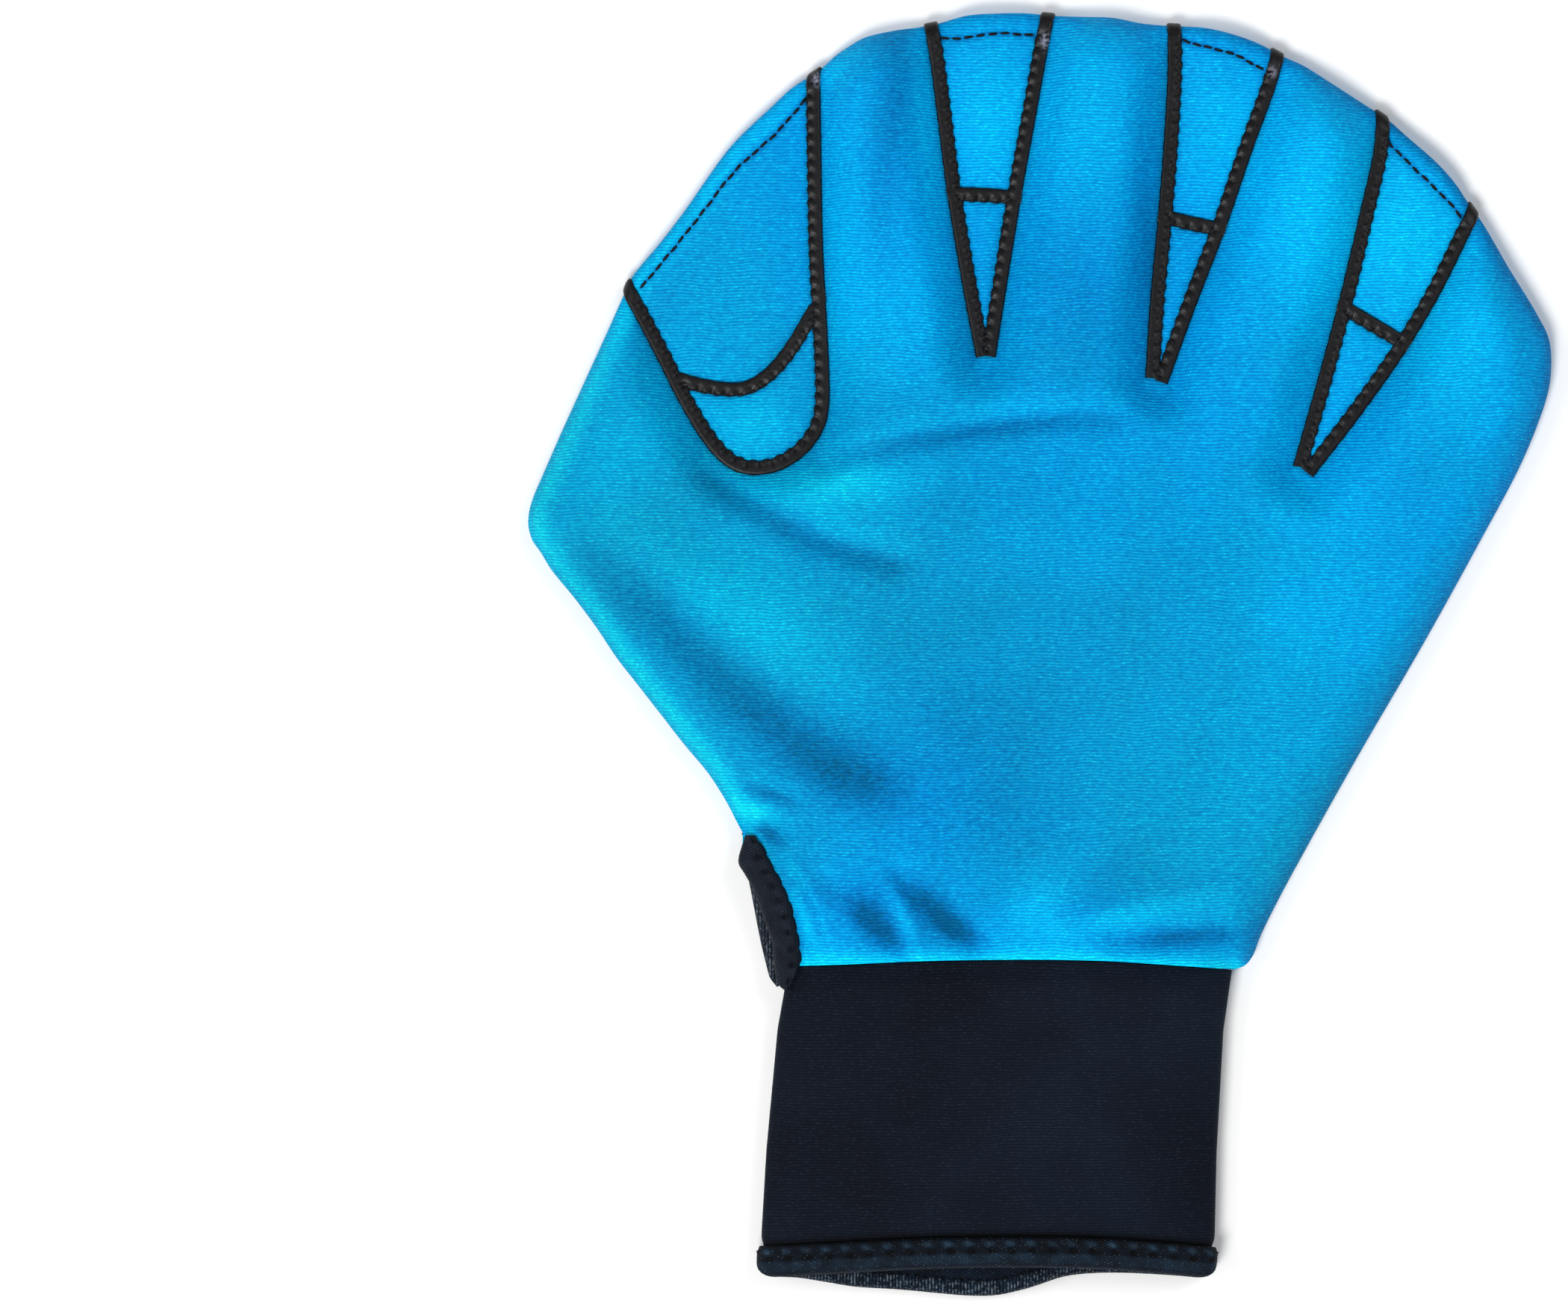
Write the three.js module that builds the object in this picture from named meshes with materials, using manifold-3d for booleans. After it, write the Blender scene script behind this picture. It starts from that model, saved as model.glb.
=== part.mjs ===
// Webbed swim glove of knit-faced foam cloth, lying on its rear face, fingers towards +Y.
// Two foam panels meet in a seam round the hand and are pinched together under bonded tapes,
// which leaves five finger pockets, four flat webs, a palm pocket and a slit beside the wrist.
// X runs across the hand, Y from the cuff to the fingertips, Z up. All sizes are millimetres.

import * as THREE from 'three';
import { mergeVertices } from 'three/addons/utils/BufferGeometryUtils.js';
import Module from 'manifold-3d';

const wasm = await Module();
wasm.setup();

// Overall sizes
const bodyWidth = 207;
const bodyLength = 193;
const cuffWidth = 91;
const cuffLength = 61.5;
const cuffHeight = 12;

// Cloth and tapes
const foam = 2.45;
const pressedFoam = 1.9;
const cuffCloth = 2;
const tapeWidth = 2.8;
const tapeThickness = 0.9;
const bindingWidth = 6;
const bindingCloth = 0.8;
const hemHeight = 6.3;
const hemDroop = 5.2;
const hemArch = 0.9;
const slitStagger = 2.4;
const tabLength = 4.2;
const clearance = 0.3;
const leafSlack = 0.25;
const tapeSink = 0.1;
const tapeOverrun = 9;
const cuffFoldRise = 1.6;
const bindingTurn = 1;
const leafPoint = 0.35;
const leafNarrowing = 0.2;

// Heights of the pockets over the seam, and how far in from a seam they are reached
const fingerPuff = 7;
const palmRise = 3;
const palmReach = 38;
const webPuff = 0.7;
const puffReach = 10;
const edgeRadius = 2.8;
const mouthPuff = 6.6;
const mouthReach = 34;
const slitLift = 2.9;
const slitReach = 12;
const slitRamp = 8;
const foldFade = 6;
const slitFade = 4;
const tapeFade = 5;
const tapeHollow = 0.35;

// Spacing of the mesh. Rings are shares of edgeRadius, rows beside the tapes shares of tapeStep,
// and leastGap is the share of a step below which two points count as one.
const edgeStep = 6;
const tapeStep = 6;
const fineGrid = 9;
const coarseGrid = 15;
const rings = [0, 0.25, 0.68, 1.4];
const outerRows = [0, 0.73, -0.73];
const innerRows = [0, 1, -1, 2, -2];
const leastGap = 0.55;

// Levels that follow from the sizes above
const rearRim = foam;
const frontRim = rearRim + clearance;
const frontGroove = frontRim + pressedFoam;
const rearGroove = tapeSink + tapeThickness + clearance;
const cuffFloor = bindingCloth + clearance;
const bindingReach = bindingWidth - bindingCloth - clearance;
const cuffFold = cuffFloor + cuffCloth + cuffFoldRise;

const clothColour = 0x0596e1;
const tapeColour = 0x191616;
const cuffColour = 0x18202b;
const bindingColour = 0x1f2e3f;

// Outline of the hand, clockwise from the top of the slit.
// Columns: across as a share of bodyWidth, along as a share of bodyLength.
const thumbSide = [
  [-0.289, 0.139], [-0.324, 0.204], [-0.414, 0.326], [-0.488, 0.435], [-0.501, 0.466],
  [-0.492, 0.501], [-0.468, 0.560], [-0.441, 0.623], [-0.408, 0.703],
];
const fingerSide = [
  [-0.408, 0.703], [-0.386, 0.740], [-0.300, 0.862], [-0.236, 0.925], [-0.172, 0.972],
  [-0.093, 0.993], [-0.014, 1.000], [0.072, 0.994], [0.172, 0.981], [0.239, 0.954],
  [0.331, 0.893], [0.397, 0.832], [0.450, 0.747], [0.486, 0.684], [0.499, 0.632],
  [0.486, 0.564], [0.429, 0.446], [0.230, 0.067], [0.217, 0.037], [0.209, 0.014],
  [0.192, 0.001],
];
const hemLine = [[0.192, 0.001], [0.127, 0.005], [0.014, 0.011], [-0.117, 0.009], [-0.250, 0.003]];

// Edge of the slit from the hem up. Columns: across, along, share of slitStagger on the rear layer.
const slitEdge = [
  [-0.250, 0.003, 1], [-0.257, 0.028, 0.9], [-0.275, 0.085, 0.5], [-0.287, 0.112, 0.2],
  [-0.289, 0.139, 0],
];

// Tapes round the webs. Each run is a curve through points in shares of bodyWidth and bodyLength;
// the first run of the thumb web starts and ends at the edge, the others start there.
const webs = [
  {
    name: 'thumb_web_tape',
    runs: [
      [
        [-0.399, 0.705], [-0.378, 0.662], [-0.352, 0.606], [-0.327, 0.560], [-0.304, 0.532],
        [-0.277, 0.524], [-0.247, 0.533], [-0.223, 0.556], [-0.212, 0.594], [-0.212, 0.640],
        [-0.218, 0.747], [-0.222, 0.930],
      ],
      [[-0.350, 0.616], [-0.329, 0.609], [-0.293, 0.606], [-0.261, 0.626], [-0.219, 0.692]],
    ],
    openRuns: [{ run: 0, start: true, end: true }],
  },
  {
    name: 'index_web_tape',
    runs: [
      [[-0.107, 0.984], [-0.099, 0.908], [-0.083, 0.789], [-0.057, 0.642]],
      [[0.007, 0.995], [-0.011, 0.894], [-0.031, 0.770], [-0.049, 0.642]],
      [[-0.078, 0.810], [-0.031, 0.807]],
    ],
    openRuns: [{ run: 0, start: true }, { run: 1, start: true }],
  },
  {
    name: 'middle_web_tape',
    runs: [
      [[0.131, 0.982], [0.129, 0.893], [0.119, 0.732], [0.112, 0.617]],
      [[0.232, 0.953], [0.197, 0.843], [0.154, 0.723], [0.118, 0.616]],
      [[0.129, 0.784], [0.165, 0.776]],
    ],
    openRuns: [{ run: 0, start: true }, { run: 1, start: true }],
  },
  {
    name: 'ring_web_tape',
    runs: [
      [[0.335, 0.884], [0.316, 0.778], [0.282, 0.634], [0.257, 0.522]],
      [[0.420, 0.787], [0.398, 0.732], [0.343, 0.636], [0.264, 0.519]],
      [[0.302, 0.688], [0.345, 0.661]],
    ],
    openRuns: [{ run: 0, start: true }, { run: 1, start: true }],
  },
];

// Dents and ridges of the upper layer, each along a bent line through three points.
// Points are shares of bodyWidth and bodyLength; reach is a share of bodyWidth, rise of palmRise.
const folds = [
  {
    name: 'palm crease', reach: 0.022, rise: -0.7,
    line: [[-0.207, 0.531], [-0.072, 0.569], [0.072, 0.579]],
  },
  {
    name: 'dent below the web', reach: 0.030, rise: -0.9,
    line: [[-0.329, 0.521], [-0.229, 0.460], [-0.100, 0.418]],
  },
  {
    name: 'ridge below the web', reach: 0.024, rise: 0.5,
    line: [[-0.243, 0.498], [-0.200, 0.506], [-0.157, 0.498]],
  },
  {
    name: 'thumb root band', reach: 0.034, rise: -0.9,
    line: [[-0.443, 0.410], [-0.336, 0.326], [-0.157, 0.219]],
  },
  {
    name: 'dent over the slit', reach: 0.020, rise: -0.5,
    line: [[-0.279, 0.164], [-0.250, 0.188], [-0.215, 0.204]],
  },
  {
    name: 'slit gather', reach: 0.022, rise: -0.5,
    line: [[-0.150, 0.016], [-0.152, 0.047], [-0.157, 0.070]],
  },
  {
    name: 'left gather', reach: 0.018, rise: -0.6,
    line: [[-0.099, 0.020], [-0.102, 0.058], [-0.099, 0.089]],
  },
  {
    name: 'middle gather', reach: 0.018, rise: -0.6,
    line: [[-0.027, 0.016], [-0.030, 0.051], [-0.024, 0.077]],
  },
  {
    name: 'right gather', reach: 0.022, rise: -0.5,
    line: [[0.136, 0.016], [0.161, 0.043], [0.189, 0.058]],
  },
  { name: 'wrist ridge', reach: 0.024, rise: 0.4, line: [[0.057, 0.081], [0.100, 0.093], [0.143, 0.089]] },
];

// Sections of the cuff from the hand down. Columns: down as a share of its length, left side from
// the foot of the slit and width as shares of cuffWidth, height as a share of cuffHeight.
const cuffSections = [
  { down: 0, left: 0.010, width: 0.985, height: 1.0 },
  { down: 0.2, left: -0.014, width: 0.99, height: 0.93 },
  { down: 0.6, left: -0.039, width: 1.0, height: 0.9 },
  { down: 1, left: -0.055, width: 1.01, height: 1.0 },
];
const cuffStations = 36;

const place = ([across, along]) => new THREE.Vector2(across * bodyWidth, along * bodyLength);
const clamp = THREE.MathUtils.clamp;
const smoothstep = THREE.MathUtils.smoothstep;
const round = (t) => Math.sqrt(1 - (1 - clamp(t, 0, 1)) ** 2);
const swell = (t) => Math.sin((clamp(t, 0, 1) * Math.PI) / 2);

function smoothLine(points, step) {
  const curve = new THREE.CatmullRomCurve3(
    points.map((p) => new THREE.Vector3(p.x, p.y, 0)), false, 'centripetal');
  const count = Math.max(1, Math.round(curve.getLength() / step));
  return curve.getSpacedPoints(count).map((p) => new THREE.Vector2(p.x, p.y));
}

function distanceToLine(p, line) {
  let best = Infinity;
  for (let i = 1; i < line.length; i++) {
    const a = line[i - 1];
    const b = line[i];
    const length = b.distanceToSquared(a);
    const t = length ? clamp(((p.x - a.x) * (b.x - a.x) + (p.y - a.y) * (b.y - a.y)) / length, 0, 1) : 0;
    best = Math.min(best, Math.hypot(a.x + t * (b.x - a.x) - p.x, a.y + t * (b.y - a.y) - p.y));
  }
  return best;
}

function sideways(points, i) {
  const before = points[Math.max(i - 1, 0)];
  const after = points[Math.min(i + 1, points.length - 1)];
  const along = after.clone().sub(before).normalize();
  return new THREE.Vector2(-along.y, along.x);
}

function isInside(p, polygon) {
  let inside = false;
  for (let i = 0, j = polygon.length - 1; i < polygon.length; j = i++) {
    const a = polygon[i];
    const b = polygon[j];
    if (a.y > p.y !== b.y > p.y && p.x < ((b.x - a.x) * (p.y - a.y)) / (b.y - a.y) + a.x) inside = !inside;
  }
  return inside;
}

// Outline of one layer

function layerOutline(staggerShare) {
  const slit = slitEdge.map(([across, along, stagger]) =>
    place([across, along]).add(new THREE.Vector2(-stagger * staggerShare * slitStagger, 0)));
  const hem = hemLine.map(place);
  hem[hem.length - 1].copy(slit[0]);
  const stretches = [
    { points: thumbSide.map(place), sewn: true },
    { points: fingerSide.map(place), sewn: true },
    { points: hem, sewn: false },
    { points: slit, sewn: false, step: edgeStep * 0.7 },
  ];
  const stations = [];
  for (const stretch of stretches) {
    stretch.line = smoothLine(stretch.points, stretch.step ?? edgeStep);
    stations.push(...stretch.line.slice(0, -1));
  }
  const sewn = stretches[0].line.concat(stretches[1].line);
  const hemEdge = stretches[2].line;
  const slitLine = stretches[3].line;
  const count = stations.length;
  const inward = stations.map((p, i) => {
    const before = p.clone().sub(stations[(i + count - 1) % count]).normalize();
    const after = stations[(i + 1) % count].clone().sub(p).normalize();
    const along = before.clone().add(after).normalize();
    const stretchOut = Math.min(1.5, 1 / Math.sqrt((1 + before.dot(after)) / 2));
    return new THREE.Vector2(along.y, -along.x).multiplyScalar(stretchOut);
  });
  const inset = (i, depth) => stations[i].clone().addScaledVector(inward[i], depth);
  return { stations, inward, inset, sewn, hemEdge, slitLine };
}

const frontEdge = layerOutline(0);
const rearEdge = layerOutline(1);

// Tapes as lines in the plane

function extended(line, atStart, atEnd, length) {
  const longer = [...line];
  if (!length) return longer;
  if (atStart) longer.unshift(line[0].clone().add(line[0].clone().sub(line[1]).setLength(length)));
  if (atEnd) longer.push(line.at(-1).clone().add(line.at(-1).clone().sub(line.at(-2)).setLength(length)));
  return longer;
}

for (const web of webs) {
  web.lines = web.runs.map((run) => smoothLine(run.map(place), tapeStep));
  const [first, second] = web.openRuns.map((open) =>
    extended(web.lines[open.run], open.start, open.end, tapeOverrun));
  web.outline = second ? first.concat(second.reverse()) : first;
}

function distanceToTapes(p) {
  return Math.min(...webs.flatMap((web) => web.lines.map((line) => distanceToLine(p, line))));
}

// Heights of the upper layer

const foldLines = folds.map((fold) => {
  const [a, b, c] = fold.line.map(place);
  const bend = b.clone().multiplyScalar(2).sub(a.clone().add(c).multiplyScalar(0.5));
  return new THREE.QuadraticBezierCurve(a, bend, c)
    .getPoints(6);
});

function foldHeight(p) {
  return folds.reduce((sum, fold, i) => {
    const share = distanceToLine(p, foldLines[i]) / (fold.reach * bodyWidth);
    return sum + fold.rise * palmRise * Math.exp(-share * share);
  }, 0);
}

function measure(p, edge) {
  const seam = distanceToLine(p, edge.sewn);
  const tape = Math.max(0, distanceToTapes(p) - tapeWidth / 2);
  const slit = Math.max(0, distanceToLine(p, edge.slitLine) - bindingReach);
  const hem = distanceToLine(p, edge.hemEdge);
  const free = Math.min(distanceToLine(p, edge.slitLine), hem);
  const openness = clamp(1 - free / edgeRadius / 2, 0, 1);
  const inWeb = webs.some((web) => isInside(p, web.outline));
  return { seam, tape, slit, hem, openness, inWeb };
}

function puffHeight(m, lag) {
  const seam = Math.max(0, m.seam - lag);
  const tape = Math.max(0, m.tape - lag / 2);
  if (m.inWeb) return 2 * webPuff * swell(tape / puffReach);
  const nearest = Math.min(seam, tape);
  const palm = fingerPuff + palmRise * smoothstep(nearest, puffReach, palmReach);
  const depth = THREE.MathUtils.lerp(mouthPuff, palm, smoothstep(m.hem, 0, mouthReach));
  const lift = slitLift * swell(m.seam / slitRamp);
  const slitShare = swell(m.slit / slitReach);
  const full = depth * swell(seam / puffReach) * swell(tape / puffReach);
  return THREE.MathUtils.lerp(Math.min(full, lift), full, slitShare);
}

function frontOuter(p, edge = frontEdge) {
  const m = measure(p, edge);
  const nearest = Math.min(m.seam, m.tape);
  const rim = foam * Math.max(round(m.seam / edgeRadius), m.openness);
  const folds = foldHeight(p) * swell(nearest / foldFade) * swell(m.slit / slitFade);
  return frontRim + rim + puffHeight(m, 0) + folds;
}

function frontInner(p, edge = frontEdge) {
  const m = measure(p, edge);
  const nearest = Math.min(m.seam - foam, m.tape);
  const raised = frontRim + puffHeight(m, foam * (1 - m.openness));
  return Math.max(frontRim, raised + foldHeight(p) * swell(nearest / foldFade) * swell(m.slit / slitFade));
}

// Heights of the lower layer, measured up from the surface that it lies on

function rearOuter(p) {
  const m = measure(p, rearEdge);
  const rim = Math.max(round(m.seam / edgeRadius), m.openness);
  const lying = rearRim * (1 - rim);
  const underTape = tapeHollow * (1 - swell(m.tape / tapeFade));
  const underBinding = cuffFloor * (1 - smoothstep(m.slit, 0, bindingReach));
  return Math.max(lying, m.seam < edgeRadius ? 0 : underTape, underBinding);
}

// Triangles through scattered points: each new point opens the triangles whose circle holds it

function triangulate(points) {
  const far = 1e5;
  const corners = points.concat([
    new THREE.Vector2(-far, -far), new THREE.Vector2(far, -far), new THREE.Vector2(0, far)]);
  const circled = (a, b, c) => {
    const [p, q, r] = [corners[a], corners[b], corners[c]];
    const area = 2 * ((q.x - p.x) * (r.y - p.y) - (q.y - p.y) * (r.x - p.x));
    const qq = q.distanceToSquared(p);
    const rr = r.distanceToSquared(p);
    const x = ((r.y - p.y) * qq - (q.y - p.y) * rr) / area;
    const y = ((q.x - p.x) * rr - (r.x - p.x) * qq) / area;
    return { corners: [a, b, c], x: p.x + x, y: p.y + y, radius: x * x + y * y };
  };
  const count = points.length;
  let triangles = [circled(count, count + 1, count + 2)];
  for (let i = 0; i < count; i++) {
    const border = new Map();
    const kept = [];
    for (const triangle of triangles) {
      if ((corners[i].x - triangle.x) ** 2 + (corners[i].y - triangle.y) ** 2 >= triangle.radius) {
        kept.push(triangle);
        continue;
      }
      const [a, b, c] = triangle.corners;
      for (const [from, to] of [[a, b], [b, c], [c, a]]) {
        if (!border.delete(`${to},${from}`)) border.set(`${from},${to}`, [from, to]);
      }
    }
    for (const [from, to] of border.values()) kept.push(circled(from, to, i));
    triangles = kept;
  }
  return triangles.map((triangle) => triangle.corners).filter((t) => t.every((corner) => corner < count));
}

// Points of one surface inside its border: rows beside the tapes, then a staggered grid

function scatter(border, tapeRows, grid, nearestToBorder) {
  const closed = border.concat([border[0]]);
  const points = [...border];
  const add = (p, space) => {
    if (!isInside(p, border) || distanceToLine(p, closed) < nearestToBorder) return;
    if (points.some((other) => other.distanceTo(p) < space)) return;
    points.push(p);
  };
  for (const row of tapeRows) {
    for (const line of webs.flatMap((web) => web.lines)) {
      line.forEach((p, i) => {
        const beside = sideways(line, i).multiplyScalar(row * tapeStep);
        add(p.clone().add(beside), tapeStep * leastGap);
      });
    }
  }
  const rowStep = grid * Math.sqrt(0.75);
  const rows = Math.ceil(bodyLength / rowStep);
  const columns = Math.ceil(bodyWidth / grid);
  for (let row = 0; row <= rows; row++) {
    for (let column = -columns; column <= columns; column++) {
      const shift = (row % 2) / 2;
      add(new THREE.Vector2((column + shift) * grid * 0.998, row * rowStep), grid * 0.7);
    }
  }
  return points;
}

// A closed skin is collected corner by corner and face by face

class Skin {
  corners = [];

  faces = [];

  corner(p, z) {
    this.corners.push(p.x, p.y, z);
    return this.corners.length / 3 - 1;
  }

  face(...corners) {
    this.faces.push(...corners);
  }

  band(first, second) {
    first.forEach((corner, i) => {
      const next = (i + 1) % first.length;
      this.face(corner, second[i], second[next]);
      this.face(corner, second[next], first[next]);
    });
  }

  volume() {
    const at = (corner) => new THREE.Vector3().fromArray(this.corners, corner * 3);
    let sum = 0;
    for (let i = 0; i < this.faces.length; i += 3) {
      sum += at(this.faces[i]).dot(at(this.faces[i + 1]).cross(at(this.faces[i + 2]))) / 6;
    }
    return sum;
  }

  geometry() {
    const geometry = new THREE.BufferGeometry();
    geometry.setAttribute('position', new THREE.Float32BufferAttribute(this.corners, 3));
    geometry.setIndex(this.volume() < 0 ? [...this.faces].reverse() : this.faces);
    return geometry;
  }
}

function fillBorder(skin, border, points, height, facesUp) {
  const corners = points.map((p, i) => (i < border.length ? border[i] : skin.corner(p, height(p))));
  const ring = points.slice(0, border.length);
  for (const [a, b, c] of triangulate(points)) {
    const middle = points[a].clone().add(points[b]).add(points[c]).divideScalar(3);
    if (!isInside(middle, ring)) continue;
    if (facesUp) skin.face(corners[a], corners[b], corners[c]);
    else skin.face(corners[a], corners[c], corners[b]);
  }
}

// Joins and cuts of closed solids

function toSolid(geometry) {
  const bare = geometry.index ? geometry.clone() : geometry;
  bare.deleteAttribute('normal');
  bare.deleteAttribute('uv');
  const merged = mergeVertices(bare, 1e-4);
  return new wasm.Manifold(new wasm.Mesh({
    numProp: 3,
    vertProperties: new Float32Array(merged.attributes.position.array),
    triVerts: new Uint32Array(merged.index.array),
  }));
}

function toGeometry(solid) {
  const mesh = solid.getMesh();
  const geometry = new THREE.BufferGeometry();
  geometry.setAttribute('position', new THREE.Float32BufferAttribute(mesh.vertProperties, 3));
  geometry.setIndex(Array.from(mesh.triVerts));
  return geometry;
}

// A ribbon of a given section swept through stations; each station gives its section's corners

function sweep(sections, caps) {
  const skin = new Skin();
  const size = sections[0].length;
  const corners = sections.map((section) => section.map((p) => skin.corner(p, p.z)));
  for (let i = 1; i < sections.length; i++) {
    for (let j = 0; j < size; j++) {
      const k = (j + 1) % size;
      skin.face(corners[i - 1][j], corners[i][j], corners[i][k]);
      skin.face(corners[i - 1][j], corners[i][k], corners[i - 1][k]);
    }
  }
  for (const [a, b, c] of caps) {
    skin.face(corners[0][a], corners[0][b], corners[0][c]);
    skin.face(corners.at(-1)[a], corners.at(-1)[c], corners.at(-1)[b]);
  }
  return skin.geometry();
}

const fourCaps = [[0, 1, 2], [0, 2, 3]];

function stripGeometry(line, halfWidth, low, high) {
  const sections = line.map((p, i) => {
    const along = line[Math.min(i + 1, line.length - 1)].clone().sub(line[Math.max(i - 1, 0)]).normalize();
    const left = new THREE.Vector2(-along.y, along.x).multiplyScalar(halfWidth);
    const [a, b] = [p.clone().add(left), p.clone().sub(left)];
    return [
      new THREE.Vector3(a.x, a.y, low), new THREE.Vector3(b.x, b.y, low),
      new THREE.Vector3(b.x, b.y, high), new THREE.Vector3(a.x, a.y, high),
    ];
  });
  return sweep(sections, fourCaps);
}

function webSolid(web, extraWidth, overrun, low, high) {
  const solids = web.lines.map((line, index) => {
    const open = web.openRuns.find((entry) => entry.run === index);
    const longer = open
      ? extended(line, open.start, open.end, overrun)
      : extended(line, true, true, tapeWidth / 2);
    return toSolid(stripGeometry(longer, tapeWidth / 2 + extraWidth, low, high));
  });
  return solids.reduce((sum, solid) => sum.add(solid));
}

function withGrooves(geometry, low, high) {
  const cutters = webs.map((web) => webSolid(web, clearance, tapeOverrun, low, high));
  return toGeometry(cutters.reduce((solid, cutter) => solid.subtract(cutter), toSolid(geometry)));
}

// Upper layer: puffed outer skin, flat rim on the seam, parallel inner skin, grooves for the tapes

function frontPanelGeometry() {
  const edge = frontEdge;
  const skin = new Skin();
  const outerRings = rings.map((share) => edge.stations.map((_, i) => edge.inset(i, share * edgeRadius)));
  const outer = outerRings.map((ring) => ring.map((p) => skin.corner(p, frontOuter(p))));
  for (let i = 1; i < outer.length; i++) skin.band(outer[i - 1], outer[i]);
  const outerPoints = scatter(outerRings.at(-1), outerRows, fineGrid, edgeStep * leastGap);
  fillBorder(skin, outer.at(-1), outerPoints, frontOuter, true);
  const innerRing = edge.stations.map((p, i) => edge.inset(i, foam * (1 - measure(p, edge).openness)));
  const inner = innerRing.map((p) => skin.corner(p, frontInner(p)));
  skin.band(inner, outer[0]);
  const innerPoints = scatter(innerRing, innerRows, coarseGrid, edgeStep * 0.7);
  fillBorder(skin, inner, innerPoints, frontInner, false);
  return withGrooves(skin.geometry(), frontGroove, frontRim + foam + cuffHeight);
}

// Lower layer: flat where it lies, rounded to the seam, grooves for the tapes from below

function rearPanelGeometry() {
  const edge = rearEdge;
  const skin = new Skin();
  const outerRings = rings.map((share) => edge.stations.map((_, i) => edge.inset(i, share * edgeRadius)));
  const outer = outerRings.map((ring) => ring.map((p) => skin.corner(p, rearOuter(p))));
  for (let i = 1; i < outer.length; i++) skin.band(outer[i], outer[i - 1]);
  const outerPoints = scatter(outerRings.at(-1), outerRows, coarseGrid, edgeStep * leastGap);
  fillBorder(skin, outer.at(-1), outerPoints, rearOuter, false);
  const top = edge.stations.map((p) => skin.corner(p, rearRim));
  skin.band(outer[0], top);
  for (const [a, b, c] of THREE.ShapeUtils.triangulateShape(edge.stations, [])) {
    skin.face(top[a], top[b], top[c]);
  }
  return withGrooves(skin.geometry(), -foam, rearGroove);
}

// Cuff: a flattened tube whose section is set by rows, and its folded binding

const slitFoot = place(slitEdge[0]);

function cuffSection(down) {
  const last = cuffSections.length - 1;
  const next = clamp(cuffSections.findIndex((row) => row.down >= down), 1, last);
  const [a, b] = [cuffSections[next - 1], cuffSections[next]];
  const share = (down - a.down) / (b.down - a.down);
  const mix = (column) => THREE.MathUtils.lerp(a[column], b[column], share);
  const half = (mix('width') * cuffWidth) / 2;
  return {
    middle: slitFoot.x + mix('left') * cuffWidth + half,
    half,
    top: cuffFloor + mix('height') * cuffHeight,
  };
}

const hemCurve = smoothLine(hemLine.map(place), edgeStep);

function hemAt(x) {
  const right = hemCurve.findIndex((p) => p.x <= x);
  if (right <= 0) return right === 0 ? hemCurve[0].y : hemCurve.at(-1).y;
  const [a, b] = [hemCurve[right - 1], hemCurve[right]];
  return THREE.MathUtils.lerp(a.y, b.y, (a.x - x) / (a.x - b.x));
}

function cuffPoint(turn, down, inset) {
  const section = cuffSection(down);
  const [cos, sin] = [Math.cos(turn), Math.sin(turn)];
  const x = section.middle + (section.half - inset) * cos;
  const z = sin >= 0
    ? cuffFold + (section.top - inset - cuffFold) * sin ** 0.75
    : cuffFold - (cuffFold - cuffFloor - inset) * (-sin) ** 0.35;
  const front = sin > 0 ? sin : 0;
  const rear = sin < 0 ? sin * sin : 0;
  const length = cuffLength - hemArch * front + hemDroop * rear;
  const topY = hemAt(section.middle + section.half * cos) - clearance;
  return new THREE.Vector3(x, topY - (down * length), z);
}

const turns = Array.from({ length: cuffStations }, (_, i) => (i / cuffStations) * 2 * Math.PI);

function ringGeometry(rows) {
  const skin = new Skin();
  const corners = rows.map((row) => turns.map((turn) => {
    const p = row(turn);
    return skin.corner(p, p.z);
  }));
  corners.forEach((ring, i) => skin.band(corners[(i + 1) % corners.length], ring));
  return skin.geometry();
}

const hemShare = (hemHeight - bindingCloth - clearance) / cuffLength;

function cuffGeometry() {
  const downs = [0, 0.1, 0.35, 0.6, 1 - hemShare, 1];
  const outer = downs.map((down) => (turn) => cuffPoint(turn, down, 0));
  const inner = downs.map((down) => (turn) => cuffPoint(turn, down, cuffCloth)).reverse();
  return ringGeometry(outer.concat(inner));
}

function cuffBindingGeometry() {
  const lowered = (p, drop) => new THREE.Vector3(p.x, p.y - drop, p.z);
  const row = (down, inset, drop) => (turn) => lowered(cuffPoint(turn, down, inset), drop);
  const top = 1 - hemShare;
  const inside = cuffCloth + clearance;
  const faces = [-bindingCloth - clearance, -clearance, inside, inside + bindingCloth];
  return ringGeometry([
    row(top, faces[0], 0),
    row(1, faces[0], clearance + bindingCloth),
    row(1, faces[3], clearance + bindingCloth),
    row(top, faces[3], 0),
    row(top, faces[2], 0),
    row(1, faces[2], clearance),
    row(1, faces[1], clearance),
    row(top, faces[1], 0),
  ]);
}

// Bindings of the slit: a leaf over the outer face, narrow at both ends, and a hook round the edge

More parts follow.
